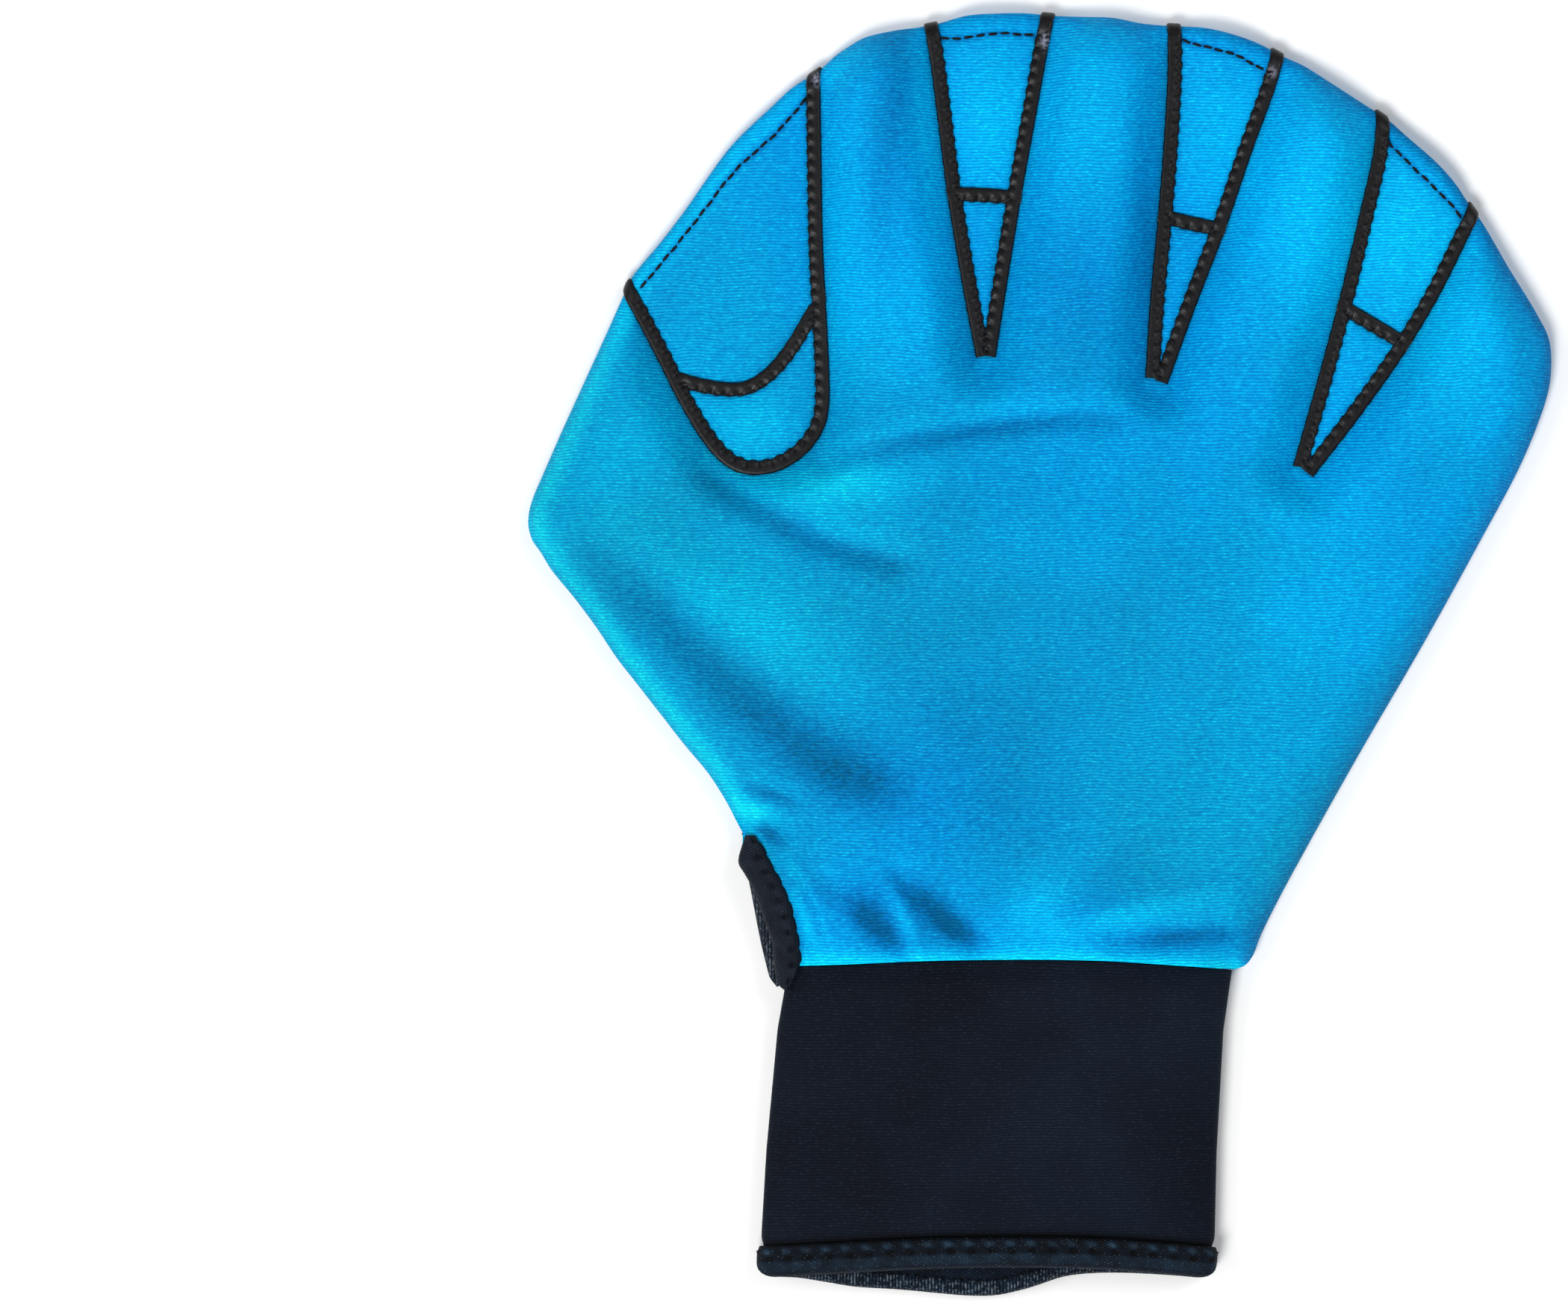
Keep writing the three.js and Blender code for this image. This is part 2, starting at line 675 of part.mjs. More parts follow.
function slitBinding(edge, outerHeight, innerHeight, outward) {
  const line = [...edge.slitLine].reverse();
  const first = line[0].clone().add(line[0].clone().sub(line[1]).setLength(bindingCloth));
  const tab = line.at(-1).clone().add(new THREE.Vector2(0.28 * tabLength, -tabLength));
  const leafLine = [first, ...line.slice(1), tab];
  const outerEdge = bindingWidth - bindingReach;
  const reach = bindingReach;
  const leafReach = (i) => {
    const toEnd = Math.min(i, leafLine.length - 1 - i) / (leafLine.length - 1);
    return reach * Math.min(1, THREE.MathUtils.lerp(leafPoint, 1, toEnd / leafNarrowing));
  };
  const section = (p, side, spans) => spans.map(([across, height]) => {
    const at = p.clone().addScaledVector(side, across);
    return new THREE.Vector3(at.x, at.y, height(p.clone().addScaledVector(side, Math.max(across, 0))));
  });
  const onLeaf = (extra) => (p) => outerHeight(p) + outward * (clearance + extra);
  const onHook = (extra) => (p) => innerHeight(p) - outward * (clearance + extra);
  const leaf = leafLine.map((p, i) => section(p, sideways(leafLine, i), [
    [-outerEdge, onLeaf(bindingCloth)], [-outerEdge, onLeaf(0)],
    [leafReach(i), onLeaf(0)], [leafReach(i), onLeaf(bindingCloth)],
  ]));
  const hookLine = line.slice(1, -1);
  const hook = hookLine.map((p, i) => section(p, sideways(hookLine, i), [
    [-outerEdge, onLeaf(bindingCloth / 2)], [-outerEdge, onHook(bindingCloth)],
    [reach, onHook(bindingCloth)], [reach, onHook(0)],
    [-clearance, onHook(0)], [-clearance, onLeaf(bindingCloth / 2)],
  ]));
  const hookCaps = [[0, 1, 4], [0, 4, 5], [1, 2, 3], [1, 3, 4]];
  return toGeometry(toSolid(sweep(leaf, fourCaps)).add(toSolid(sweep(hook, hookCaps))));
}

function overCuff(p) {
  const down = tabLength / cuffLength;
  const section = cuffSection(down);
  const cos = clamp((p.x - section.middle) / section.half, -1, 1);
  return cuffPoint(Math.acos(cos), down, 0).z;
}

const boundLevel = frontRim + foam + slitLift;
const frontBound = (p) => {
  const onCloth = p.y > hemAt(p.x) + bindingTurn;
  return leafSlack + (onCloth ? frontOuter(p) : Math.max(overCuff(p), boundLevel));
};
const rearBound = () => cuffFloor;

// Assembly

function finish(colour, roughness) {
  return new THREE.MeshStandardMaterial({ color: colour, roughness, metalness: 0 });
}

const glove = new THREE.Group();

function addPiece(name, geometry, colour, roughness) {
  const mesh = new THREE.Mesh(geometry, finish(colour, roughness));
  mesh.name = name;
  glove.add(mesh);
}

addPiece('front_panel', frontPanelGeometry(), clothColour, 0.6);
addPiece('rear_panel', rearPanelGeometry(), clothColour, 0.6);
for (const web of webs) {
  const tape = (low) => toGeometry(webSolid(web, 0, 0, low, low + tapeThickness));
  addPiece(`${web.name}_front`, tape(frontGroove + clearance), tapeColour, 0.4);
  addPiece(`${web.name}_rear`, tape(tapeSink), tapeColour, 0.4);
}
addPiece('wrist_cuff', cuffGeometry(), cuffColour, 0.7);
addPiece('cuff_binding', cuffBindingGeometry(), bindingColour, 0.75);
addPiece('slit_binding_front', slitBinding(frontEdge, frontBound, frontInner, 1), bindingColour, 0.75);
addPiece('slit_binding_rear', slitBinding(rearEdge, rearBound, () => rearRim, -1), bindingColour, 0.75);

const box = new THREE.Box3().setFromObject(glove);
const middle = box.getCenter(new THREE.Vector3());
glove.position.set(-middle.x, -middle.y, -box.min.z);

export default glove;
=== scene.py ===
# A webbed swim glove of knit-faced foam cloth, lying on its rear face with the fingers towards +Y
import math

import bpy
import numpy as np
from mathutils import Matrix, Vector
from mathutils.geometry import delaunay_2d_cdt


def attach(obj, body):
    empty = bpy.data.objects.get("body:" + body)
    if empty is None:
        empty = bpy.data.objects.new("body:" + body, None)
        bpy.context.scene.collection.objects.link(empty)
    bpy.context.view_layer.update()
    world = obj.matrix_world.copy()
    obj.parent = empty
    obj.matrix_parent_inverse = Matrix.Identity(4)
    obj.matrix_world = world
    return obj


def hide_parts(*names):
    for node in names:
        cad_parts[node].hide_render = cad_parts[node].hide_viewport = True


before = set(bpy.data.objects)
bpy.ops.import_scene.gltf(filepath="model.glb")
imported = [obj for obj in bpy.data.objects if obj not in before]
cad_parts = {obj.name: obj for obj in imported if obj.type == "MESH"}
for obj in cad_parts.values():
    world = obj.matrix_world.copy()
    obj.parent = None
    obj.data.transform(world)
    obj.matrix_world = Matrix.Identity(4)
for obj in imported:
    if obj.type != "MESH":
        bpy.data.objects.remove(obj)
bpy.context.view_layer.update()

bpy.ops.object.select_all(action="DESELECT")

# Places and sizes are millimetres, from the cuff seam at the middle of the palm
TO_FRAME = np.array([0.175, -63.466, 0.0])
MM = 0.001

FOAM = 2.45
CUFF_CLOTH = 2.0
CUFF_WIDTH = 91.0
CUFF_LENGTH = 61.5
CUFF_HEIGHT = 12.0
TAPE_WIDTH = 2.8
TAPE_THICKNESS = 0.9
BINDING_WIDTH = 6.0
BINDING_CLOTH = 0.8
BINDING_REACH = BINDING_WIDTH - BINDING_CLOTH - 0.3
HEM_HEIGHT = 6.3
HEM_ARCH = 0.9
HEM_CORNER = 1.7
HEM_SQUEEZE = 0.6
SLIT_STAGGER = 2.4
CLEARANCE = 0.3
OFF_FLOOR = 0.02
# The cuff's tuck under the hand, its groove over the binding and the reach of the painted shadow in that
# groove
CUFF_TUCK = 1.9
TUCK_REACH = 5.5
GROOVE_DEPTH = 0.55
GROOVE_REACH = 1.3
GROOVE_SHADE = 1.2
# Drawn and rolled edge of the slit binding, and the gap in its closed tip
SCALLOP = 0.35
EDGE_ROLL = 0.9
CLOSED_GAP = 0.85

FINGER_PUFF = 7.0
PALM_RISE = 3.0
PALM_REACH = 38.0
WEB_PUFF = 0.7
PUFF_REACH = 10.0
EDGE_RADIUS = 2.8
MOUTH_PUFF = 6.6
MOUTH_REACH = 34.0
SLIT_LIFT = 2.9
SLIT_REACH = 12.0
SLIT_RAMP = 8.0
TAPE_PRESS = 0.45
TAPE_BED = 0.3
# Distances from a tape's middle between which the pressed cloth rises
TAPE_SHOULDER = (1.2, 1.9)
TAPE_OVERHANG = 1.6
TAPE_STEP = 0.43
TAPE_RUN_ON = 3.0
TAPE_WANDER = 0.05
TAPE_ROUND = 0.45
REAR_TAPE_LIFT = 0.7
TAPE_END_GAP = 0.07
# Rows along a tape, in shares of its half width
TAPE_ROWS = (-1, -0.92, -0.76, -0.46, -0.15, 0.15, 0.46, 0.76, 0.92, 1)
WEB_OVERSHOOT = 9.0
# Dents of the rear layer under its tapes and between them
REAR_BED = 1.05
REAR_BED_EDGE = (1.42, 1.75)
REAR_HOLLOW = 0.35
HOLLOW_REACH = 5.0
# Folds fade out towards seams and the slit
FOLD_FADE = 6.0
SLIT_FADE = 4.0
LIP_REACH = 2.2
LIP_RISE = 0.9
THREAD_SINK = 0.4
THREAD_GROOVE = 0.7
# Spacing of the cloth's corners, and its closer rows: degrees round the rim, distances beside tape and thread
FINE_GRID = 1.05
REAR_GRID = 1.5
HIDDEN_GRID = 4.0
RIM_ANGLES = (12, 26, 40, 55, 72)
BESIDE_TAPE = (-2.5, -1.7, -1.2, 1.2, 1.7, 2.5)
BESIDE_THREAD = (-1.1, -0.5, 0, 0.5, 1.1)

REAR_RIM = FOAM
FRONT_RIM = REAR_RIM + CLEARANCE
CUFF_FLOOR = BINDING_CLOTH + CLEARANCE
CUFF_FOLD = CUFF_FLOOR + CUFF_CLOTH + 1.6

TAPE_STITCH = 2.6
TOP_STITCH = 2.3
HEM_STITCH = 4.0
SLIT_STITCH = 3.3
# Length and thickness of one stitch
TAPE_THREAD = (1.9, 0.7)
FINE_THREAD = (2.55, 0.6)
# How far the thread and its holes lie off the middle of a tape
THREAD_OFF_MIDDLE = 1.25
HOLE_OFF_MIDDLE = 0.8
HOLE_REACH = 0.58
HOLE_DEPTH = 0.5
# Steps along a tape, and how many of them are left free of thread at its ends
THREAD_STEP = 0.3
OPEN_END = 14
CLOSED_END = 4

# Outline of the hand, clockwise from the top of the slit
THUMB_SIDE = [
    (-60.1, 27.5), (-61.7, 30.5), (-63.2, 33.4), (-67, 39.4), (-71.9, 45.3), (-76.5, 51.2),
    (-81.1, 57.1), (-85.7, 63), (-89.7, 69), (-94.1, 74.9), (-98.9, 80.8), (-100.9, 84.1),
    (-102.7, 86.7), (-103.5, 89.7), (-103.3, 92.6), (-102.4, 95.6), (-101.1, 98.6),
    (-96.9, 108.2), (-91.3, 120.5), (-87.6, 128.6), (-84.2, 136.2),
]
FINGER_SIDE = [
    (-84.2, 136.2), (-82.6, 139.7), (-77, 146.5), (-71.8, 153.3), (-67.3, 159.8), (-62.2, 166.6),
    (-53.7, 174.8), (-50.3, 178), (-44.4, 181.9), (-41.4, 184.6), (-38.5, 186.6), (-35.5, 188.3),
    (-29.6, 189.7), (-24.4, 190.4), (-20.7, 191.1), (-14.8, 192.7), (-8.9, 193.1), (-3, 193.2),
    (3.1, 192.7), (8.9, 192.5), (14.8, 192.3), (20.4, 191.2), (25.6, 190.7), (32.7, 190.3),
    (38.3, 189.1), (44.1, 187.1), (49.4, 184.4), (53.3, 182.6), (59.2, 178.9), (65.1, 175.1),
    (70.7, 171.4), (74, 168.4), (79.9, 163.2), (83.9, 158.8), (86.6, 154.8), (89.5, 150.8),
    (94.7, 141.9), (100.6, 132.2), (103, 127.1), (103.3, 120.3), (102.4, 115.3), (97.7, 103),
    (88.8, 86.1), (77, 64.8), (65.1, 44.4), (53.3, 23.4), (47.7, 13), (44.4, 6.2), (43.2, 3),
    (41.6, 0.9), (39.4, 0),
]
HEM = [
    (39.4, 0), (26.2, 1), (11.2, 1.9), (-5.8, 2.1), (-24.1, 1.8), (-35.5, 1.3), (-51.8, 0.6),
]
# Edge of the slit from the hem up. Columns: across, along, share of the stagger on the rear layer
SLIT = [
    (-51.8, 0.6, 1), (-53.2, 5.4, 0.9), (-56.9, 16.4, 0.25), (-59.4, 21.6, -0.35), (-60.1, 24.6, -0.4),
    (-60.1, 27.5, 0),
]

# How far the rear of the hem hangs below its front. Columns: across, droop
DROOP = [
    (-62, 0), (-51, 0.1), (-44.4, 1.3), (-38.5, 2.5), (-29.6, 3.5), (-20.7, 4.6), (-14.8, 5.2),
    (-8.9, 5.2), (-3, 4.0), (0, 3.1), (4.4, 1.6), (8, 0.9), (14.8, 0.3), (24, 0), (40, 0),
]
# Edges of the front binding of the slit, from its top to the tip on the cuff
SLIT_LEFT = [
    (-59.6, 27.1), (-60.4, 24.6), (-61.0, 21.6), (-59.7, 19.2), (-58.2, 16.6), (-56.9, 13.2),
    (-55.5, 9.2), (-54.3, 5.6), (-53.9, 2.4), (-53.6, -0.6), (-52.6, -3.4), (-51.6, -4.2),
]
SLIT_RIGHT = [
    (-57.7, 27.1), (-55.6, 24.4), (-54.2, 21.4), (-52.2, 17.9), (-50.9, 14.9), (-50.0, 12.7),
    (-49.4, 9.8), (-48.8, 7.2), (-48.4, 4.2), (-48.2, 1.4), (-49.6, -1.8), (-50.9, -4.1),
]

# Tapes round the four webs. The first points of an open run lie on the edge of the hand.
# Stitch side is 1 for thread to the left of the run, -1 for thread to its right.
WEBS = {
    "thumb_web_tape": [
        {"open": (True, True), "stitch": 1, "line": [
            (-83.4, 137.6), (-81.1, 133.3), (-78.3, 128), (-75.3, 122.2), (-72.8, 117.1),
            (-70.3, 112.6), (-67.6, 108.2), (-64.4, 104.2), (-61.4, 102), (-58.2, 101.2),
            (-54, 101.7), (-50.3, 103.5), (-47.1, 106.3), (-44.7, 110.4), (-44, 114.8),
            (-44, 119.3), (-44.3, 126.7), (-44.8, 135.6), (-45.3, 145.9), (-45.7, 168.1),
            (-45.9, 181)]},
        {"open": (False, False), "stitch": -1, "line": [
            (-72.4, 119), (-68.8, 118), (-63.9, 117.2), (-60.4, 117.2), (-57.4, 118.3),
            (-54, 120.9), (-50, 125.9), (-46.2, 132.3)]},
    ],
    "index_web_tape": [
        {"open": (True, False), "stitch": 1, "line": [
            (-22.1, 190.8), (-21, 184.4), (-19.5, 172.9), (-17.6, 157.8), (-15.2, 143),
            (-13.6, 134.1), (-11.6, 123.8)]},
        {"open": (True, False), "stitch": -1, "line": [
            (1.5, 192.8), (0, 185.1), (-2.5, 171.1), (-5.2, 156.3), (-8.1, 138.5), (-10.4, 123.8)]},
        {"open": (False, False), "stitch": -1, "line": [(-16.1, 156.6), (-11.3, 156.4), (-6.5, 156)]},
    ],
    "middle_web_tape": [
        {"open": (True, False), "stitch": 1, "line": [
            (27.1, 190.7), (27.1, 181.4), (26.2, 165.2), (25, 150.4), (23.5, 134.1), (22.6, 119.4)]},
        {"open": (True, False), "stitch": -1, "line": [
            (48.1, 185.2), (46.2, 178.5), (41.6, 165.9), (36.3, 150.4), (30.3, 134.8),
            (24.4, 118.6)]},
        {"open": (False, False), "stitch": -1, "line": [(26.6, 151.6), (30.4, 150.7), (34.2, 149.9)]},
    ],
    "ring_web_tape": [
        {"open": (True, False), "stitch": 1, "line": [
            (69.3, 172.4), (68.7, 165.2), (65.9, 152.6), (62.6, 138.5), (57.7, 120), (52.4, 101.4)]},
        {"open": (True, False), "stitch": -1, "line": [
            (87.7, 153.4), (85.1, 148.1), (79.2, 136.3), (72.5, 125.2), (63.6, 112.6),
            (54, 100.2)]},
        {"open": (False, False), "stitch": -1, "line": [(62.6, 132.9), (67, 130.3), (71.3, 127.7)]},
    ],
}

# Lines of fine thread that close each web below its edge
TOP_STITCHES = {
    "thumb": [(-80.8, 137.5), (-74, 145.6), (-68.1, 153), (-61.7, 161.2), (-53.3, 168.9), (-47.2, 176)],
    "index": [(-20.4, 188), (-14.8, 188.1), (-11.8, 188.7), (-8.9, 189), (-1.2, 188.7)],
    "middle": [(28.6, 187.7), (32.6, 186.5), (38.8, 184.9), (42.9, 182.9), (45.1, 181.6)],
    "ring": [(70, 167.4), (74, 163.2), (79.9, 157.5), (82.9, 154.5), (85.2, 151.8)],
}

# Dents and ridges of the upper layer, each along a bent line. Columns: line, reach, rise
FOLDS = {
    "palm crease": ([(-43, 102.6), (-14.9, 109.8), (14.8, 111.8)], 3.0, -1.0),
    "dent below the web": ([(-66, 100.6), (-50, 90), (-29, 82.4)], 3.4, -1.2),
    "ridge below the web": ([(-50.3, 97.1), (-41.4, 97.6), (-30.5, 96.1)], 6.0, 0.9),
    "thumb root band": ([(-88, 84), (-66, 66), (-32, 44)], 8.0, -1.8),
    "dash over the slit": ([(-58, 37), (-53.8, 35.6), (-49.7, 34)], 1.8, -0.6),
    "slit hollow": ([(-58, 29.2), (-55.5, 28.2), (-52.5, 26.6)], 1.7, -0.8),
    "slit streak": ([(-51, 20), (-47.4, 14.5), (-44.5, 9)], 1.5, -0.45),
    "slit crest": ([(-49, 21), (-44.6, 13), (-41.5, 4)], 1.5, 0.4),
    "left gather": ([(-43, 18), (-36.5, 12), (-29, 6)], 2.6, -0.8),
    "gather crest": ([(-30, 18), (-27.2, 11), (-24.5, 4)], 1.8, 0.5),
    "middle gather": ([(-29, 19), (-21.5, 13), (-13.5, 6.5)], 3.2, -1.2),
    "right gather": ([(15.7, 5.6), (26, 6.2), (37, 8)], 2.6, -0.9),
    "wrist ridge": ([(5, 9), (21, 12.4), (38, 16)], 3.5, 0.7),
    "little edge": ([(91, 148), (97, 137), (99, 122)], 3.5, -0.4),
}

# Painted highlight where the cloth rises along this direction and painted shade where it falls, as if lit
# from the opposite side
AWAY_FROM_PAINTED_LIGHT = np.array([0.45, 0.89])
# Rounded edges get a painted highlight on the side that this points away from, and painted shade on the side
# it points to
SHADED_SIDE = np.array([0.9, 0.25])
# The knit turns from teal to a purer blue along this direction
BLUER = np.array([0.5, 0.87])
BLUE_PATCH = np.array([-26, 28])
BLUE_REACH = 32
BLUER_SPAN = (20, 130)
PATCH_BLUE = 0.9
HEM_BLUE = 0.8
HEM_BLUE_REACH = 25
# Strength and spread of the painted shade and highlights along slopes, rims, hem, tapes and thread
SLOPE_SHADING_CONTRAST = 0.8
RIM_HIGHLIGHT = 0.82
RIM_HIGHLIGHT_PLACE = 2.2
RIM_SHADE = 0.7
RIM_SPREAD = 2.0
HEM_HIGHLIGHT = 0.9
HEM_SPREAD = 2.4
TAPE_SHADE = 0.12
TAPE_SHADE_PLACE = 1.6
TAPE_SHADE_SPREAD = 0.8
THREAD_SHADE = 0.7
THREAD_SHADE_SPREAD = 0.55

# Painted shade in dents, creases and gathers, painted highlights on bumps and crests, and paler or deeper
# areas of the knit.
# Columns: middle, half length and half width, lean in degrees, strength
SHADE_AND_TONE_PATCHES = {
    "bump below the web": ((-40, 98.5), (15, 4.4), 2, 0.75),
    "dent below the web": ((-51, 90.5), (11, 3.6), -32, -0.42),
    "dent foot": ((-34, 83.5), (8, 2.4), -14, -0.3),
    "palm crease": ((-10, 109), (24, 1.8), 8, -0.35),
    "palm under the crease": ((-8, 98), (18, 8), 0, -0.1),
    "thumb root": ((-75, 70), (15, 5), -48, -0.4),
    "palm heel": ((-54, 49), (18, 6), -38, -0.5),
    "palm heel end": ((-38, 38), (11, 5), -25, -0.4),
    "lit palm": ((-54, 72), (20, 8), -36, 0.2),
    "dash over the slit": ((-54, 35.6), (5, 1.2), -18, -0.5),
    "over the slit": ((-57.5, 32.2), (5, 1.7), -15, 0.75),
    "slit hollow": ((-55.2, 28), (3.4, 1.6), -20, -0.9),
    "beside the binding": ((-47.4, 10), (9, 1.4), -70, 0.6),
    "slit streak": ((-46.4, 13.5), (6, 1.4), -60, -0.5),
    "slit crest": ((-43.6, 9), (8, 1.3), -62, 0.3),
    "left gather": ((-33.5, 10.5), (8.5, 3.2), -46, -1.15),
    "gather crest": ((-27, 9.5), (6, 1.6), -66, 0.4),
    "middle gather": ((-21, 12.5), (9, 3.2), -42, -0.9),
    "gather root": ((-15, 8), (5, 2.6), -25, -0.35),
    "pale over the hem": ((-1, 12), (6, 7), -45, 0.4),
    "palm foot": ((-8, 30), (20, 9), 0, -0.2),
    "palm left": ((-26, 46), (16, 12), -20, -0.22),
    "right gather": ((27, 6.9), (11, 1.9), 5, -0.85),
    "right crest": ((20, 12), (17, 2.4), 14, 0.35),
    "right wrist": ((14, 19), (9, 4), 40, -0.2),
    "ring finger": ((57, 150), (14, 26), 0, 0.5),
    "little finger": ((84, 126), (12, 22), 0, 0.45),
    "middle finger": ((10, 172), (9, 20), 0, 0.38),
    "middle finger root": ((8, 136), (9, 14), 0, -0.25),
    "middle finger right": ((21, 150), (3, 24), 0, -0.3),
    "index finger": ((-30, 172), (3.6, 20), -6, -0.35),
    "beside the index web": ((-23.5, 172), (2.4, 18), 6, 0.35),
    "index finger left": ((-40, 150), (5, 30), 0, 0.25),
    "index root": ((-30, 128), (10, 12), 0, 0.2),
    "thumb": ((-84, 108), (9, 14), 0, 0.15),
    "thumb web": ((-62, 140), (12, 22), 0, 0.1),
    "thumb web low": ((-58, 110), (8, 6), 0, 0.35),
    "index web": ((-10, 172), (9, 16), 0, 0.5),
    "middle web": ((36, 170), (9, 14), 0, 0.4),
    "ring web": ((75, 150), (10, 14), 0, 0.45),
    "palm right": ((52, 84), (20, 26), 0, 0.2),
    "palm middle": ((-2, 62), (26, 22), 0, -0.1),
    "palm low": ((-6, 46), (15, 10), 0, -0.12),
}

# Painted highlights on the tapes near the finger tips
GLEAM_SPOTS = [((0.9, 187.6), 1.5), ((46.7, 181.2), 0.9), ((-45.0, 179.6), 1.2)]


def smooth_line(points, step):
    """Even stations on a curve through the points."""
    p = np.array(points, float)
    knots = np.concatenate([[0], np.cumsum(np.sqrt(np.linalg.norm(np.diff(p, axis=0), axis=1)))])
    slopes = np.gradient(p, knots, axis=0)
    fine = []
    for i in range(len(p) - 1):
        width = knots[i + 1] - knots[i]
        t = np.linspace(0, 1, 24, endpoint=i == len(p) - 2)[:, None]
        fine.append(
            (2 * t**3 - 3 * t**2 + 1) * p[i] + (t**3 - 2 * t**2 + t) * width * slopes[i]
            + (3 * t**2 - 2 * t**3) * p[i + 1] + (t**3 - t**2) * width * slopes[i + 1])
    return even_line(np.vstack(fine), step)


def even_line(line, step):
    run = np.concatenate([[0], np.cumsum(np.linalg.norm(np.diff(line, axis=0), axis=1))])
    count = max(1, round(run[-1] / step))
    places = np.linspace(0, run[-1], count + 1)
    return np.stack([np.interp(places, run, line[:, k]) for k in range(line.shape[1])], axis=1)


def stations_on(points, count):
    """The given number of stations at even shares of a curve through the points."""
    line = smooth_line(points, 0.2)
    run = np.concatenate([[0], np.cumsum(np.linalg.norm(np.diff(line, axis=0), axis=1))])
    places = np.linspace(0, run[-1], count)
    return np.stack([np.interp(places, run, line[:, k]) for k in (0, 1)], axis=1)


def directions(line):
    """Unit directions at the stations of a line."""
    d = np.gradient(line, axis=0)
    return d / np.linalg.norm(d, axis=1)[:, None]


def left_of(d):
    return np.stack([-d[:, 1], d[:, 0]], axis=1)


def nearest_on(line, p):
    """Distance, nearest point and side of the line for each point."""
    best = np.full(len(p), np.inf)
    foot = np.zeros((len(p), 2))
    run_at = np.zeros((len(p), 2))
    for start, end in zip(line[:-1], line[1:]):
        run = end - start
        t = np.clip(((p - start) @ run) / max(run @ run, 1e-12), 0, 1)
        at = start + t[:, None] * run
        distance = np.hypot(*(p - at).T)
        closer = distance < best
        best[closer] = distance[closer]
        foot[closer] = at[closer]
        run_at[closer] = run / max(np.hypot(*run), 1e-9)
    return best, foot, run_at


def distance_to(line, p):
    return nearest_on(line, p)[0]


def is_inside(p, polygon):
    inside = np.zeros(len(p), bool)
    for a, b in zip(polygon, np.roll(polygon, -1, axis=0)):
        crosses = (a[1] > p[:, 1]) != (b[1] > p[:, 1])
        if a[1] != b[1]:
            inside ^= crosses & (p[:, 0] < (b[0] - a[0]) * (p[:, 1] - a[1]) / (b[1] - a[1]) + a[0])
    return inside


def swell(t):
    """A quick rise from 0 that levels out at 1."""
    return np.sin(np.clip(t, 0, 1) * math.pi / 2)


def dome(t):
    """Height of a quarter circle over a share of its radius."""
    return np.sqrt(1 - (1 - np.clip(t, 0, 1)) ** 2)


def ease(x, start, end):
    """0 up to the start, 1 from the end, and a smooth run between them."""
    t = np.clip((x - start) / (end - start), 0, 1)
    return t * t * (3 - 2 * t)


def lerp(a, b, t):
    return a + (b - a) * t


class Layer:
    """Outline of one cloth layer and the lines that shape it."""

    def __init__(self, stagger):
        slit = [(x - stagger * share * SLIT_STAGGER, y) for x, y, share in SLIT]
        hem = HEM[:-1] + [slit[0]]
        parts = [smooth_line(part, 1.0) for part in (THUMB_SIDE, FINGER_SIDE, hem, slit)]
        self.sewn = np.vstack(parts[:2])
        self.hem = parts[2]
        self.slit = parts[3]
        self.outline = np.vstack([part[:-1] for part in parts])
        self.closed = np.vstack([self.outline, self.outline[:1]])


def longer(line, at_start, at_end):
    """The line carried on straight at its ends."""
    if at_start:
        line = np.vstack([line[0] + at_start * (line[0] - line[2]) / np.hypot(*(line[0] - line[2])), line])
    if at_end:
        line = np.vstack([line, line[-1] + at_end * (line[-1] - line[-3]) / np.hypot(*(line[-1] - line[-3]))])
    return line


front = Layer(0)
rear = Layer(1)

tape_lines = []
web_outlines = []
for runs in WEBS.values():
    for run in runs:
        run["stations"] = smooth_line(run["line"], 0.65)
        tape_lines.append(smooth_line(run["line"], 3.0))
    sides = [
        longer(run["stations"], *(WEB_OVERSHOOT * is_open for is_open in run["open"]))
        for run in runs if run["open"][0]]
    web_outlines.append(sides[0] if len(sides) == 1 else np.vstack([sides[0], sides[1][::-1]]))

stitch_lines = {name: smooth_line(points, 1.5) for name, points in TOP_STITCHES.items()}
fold_lines = {}
for name, (points, _, _) in FOLDS.items():
    a, b, c = (np.array(point, float) for point in points)
    t = np.linspace(0, 1, 13)[:, None]
    fold_lines[name] = (1 - t) ** 2 * a + 2 * t * (1 - t) * (2 * b - (a + c) / 2) + t**2 * c


def to_tapes(p):
    return np.min([distance_to(line, p) for line in tape_lines], axis=0)


def fold_height(p):
    total = np.zeros(len(p))
    for name, (_, reach, rise) in FOLDS.items():
        total += rise * np.exp(-(distance_to(fold_lines[name], p) / reach) ** 2)
    return total


def ripple(p):
    """Slow uneven waves that loose foam cloth keeps when it lies flat."""
    x, y = p.T
    return (
        0.16 * np.sin(x / 9.3 + 0.7 * np.sin(y / 17.0))
        + 0.14 * np.sin(y / 11.7 + 1.3 + 0.9 * np.sin(x / 21.0))
        + 0.07 * np.sin(x / 4.1 - y / 6.3 + 2.1))


def measure(layer, p):
    seam = distance_to(layer.sewn, p)
    to_tape = to_tapes(p)
    to_slit = distance_to(layer.slit, p)
    hem = distance_to(layer.hem, p)
    return {
        "seam": seam,
        "to_tape": to_tape,
        "tape": np.maximum(0, to_tape - TAPE_WIDTH / 2),
        "slit": np.maximum(0, to_slit - BINDING_REACH),
        "hem": hem,
        "openness": np.clip(1 - np.minimum(to_slit, hem) / EDGE_RADIUS / 2, 0, 1),
        "in_web": np.any([is_inside(p, outline) for outline in web_outlines], axis=0),
    }


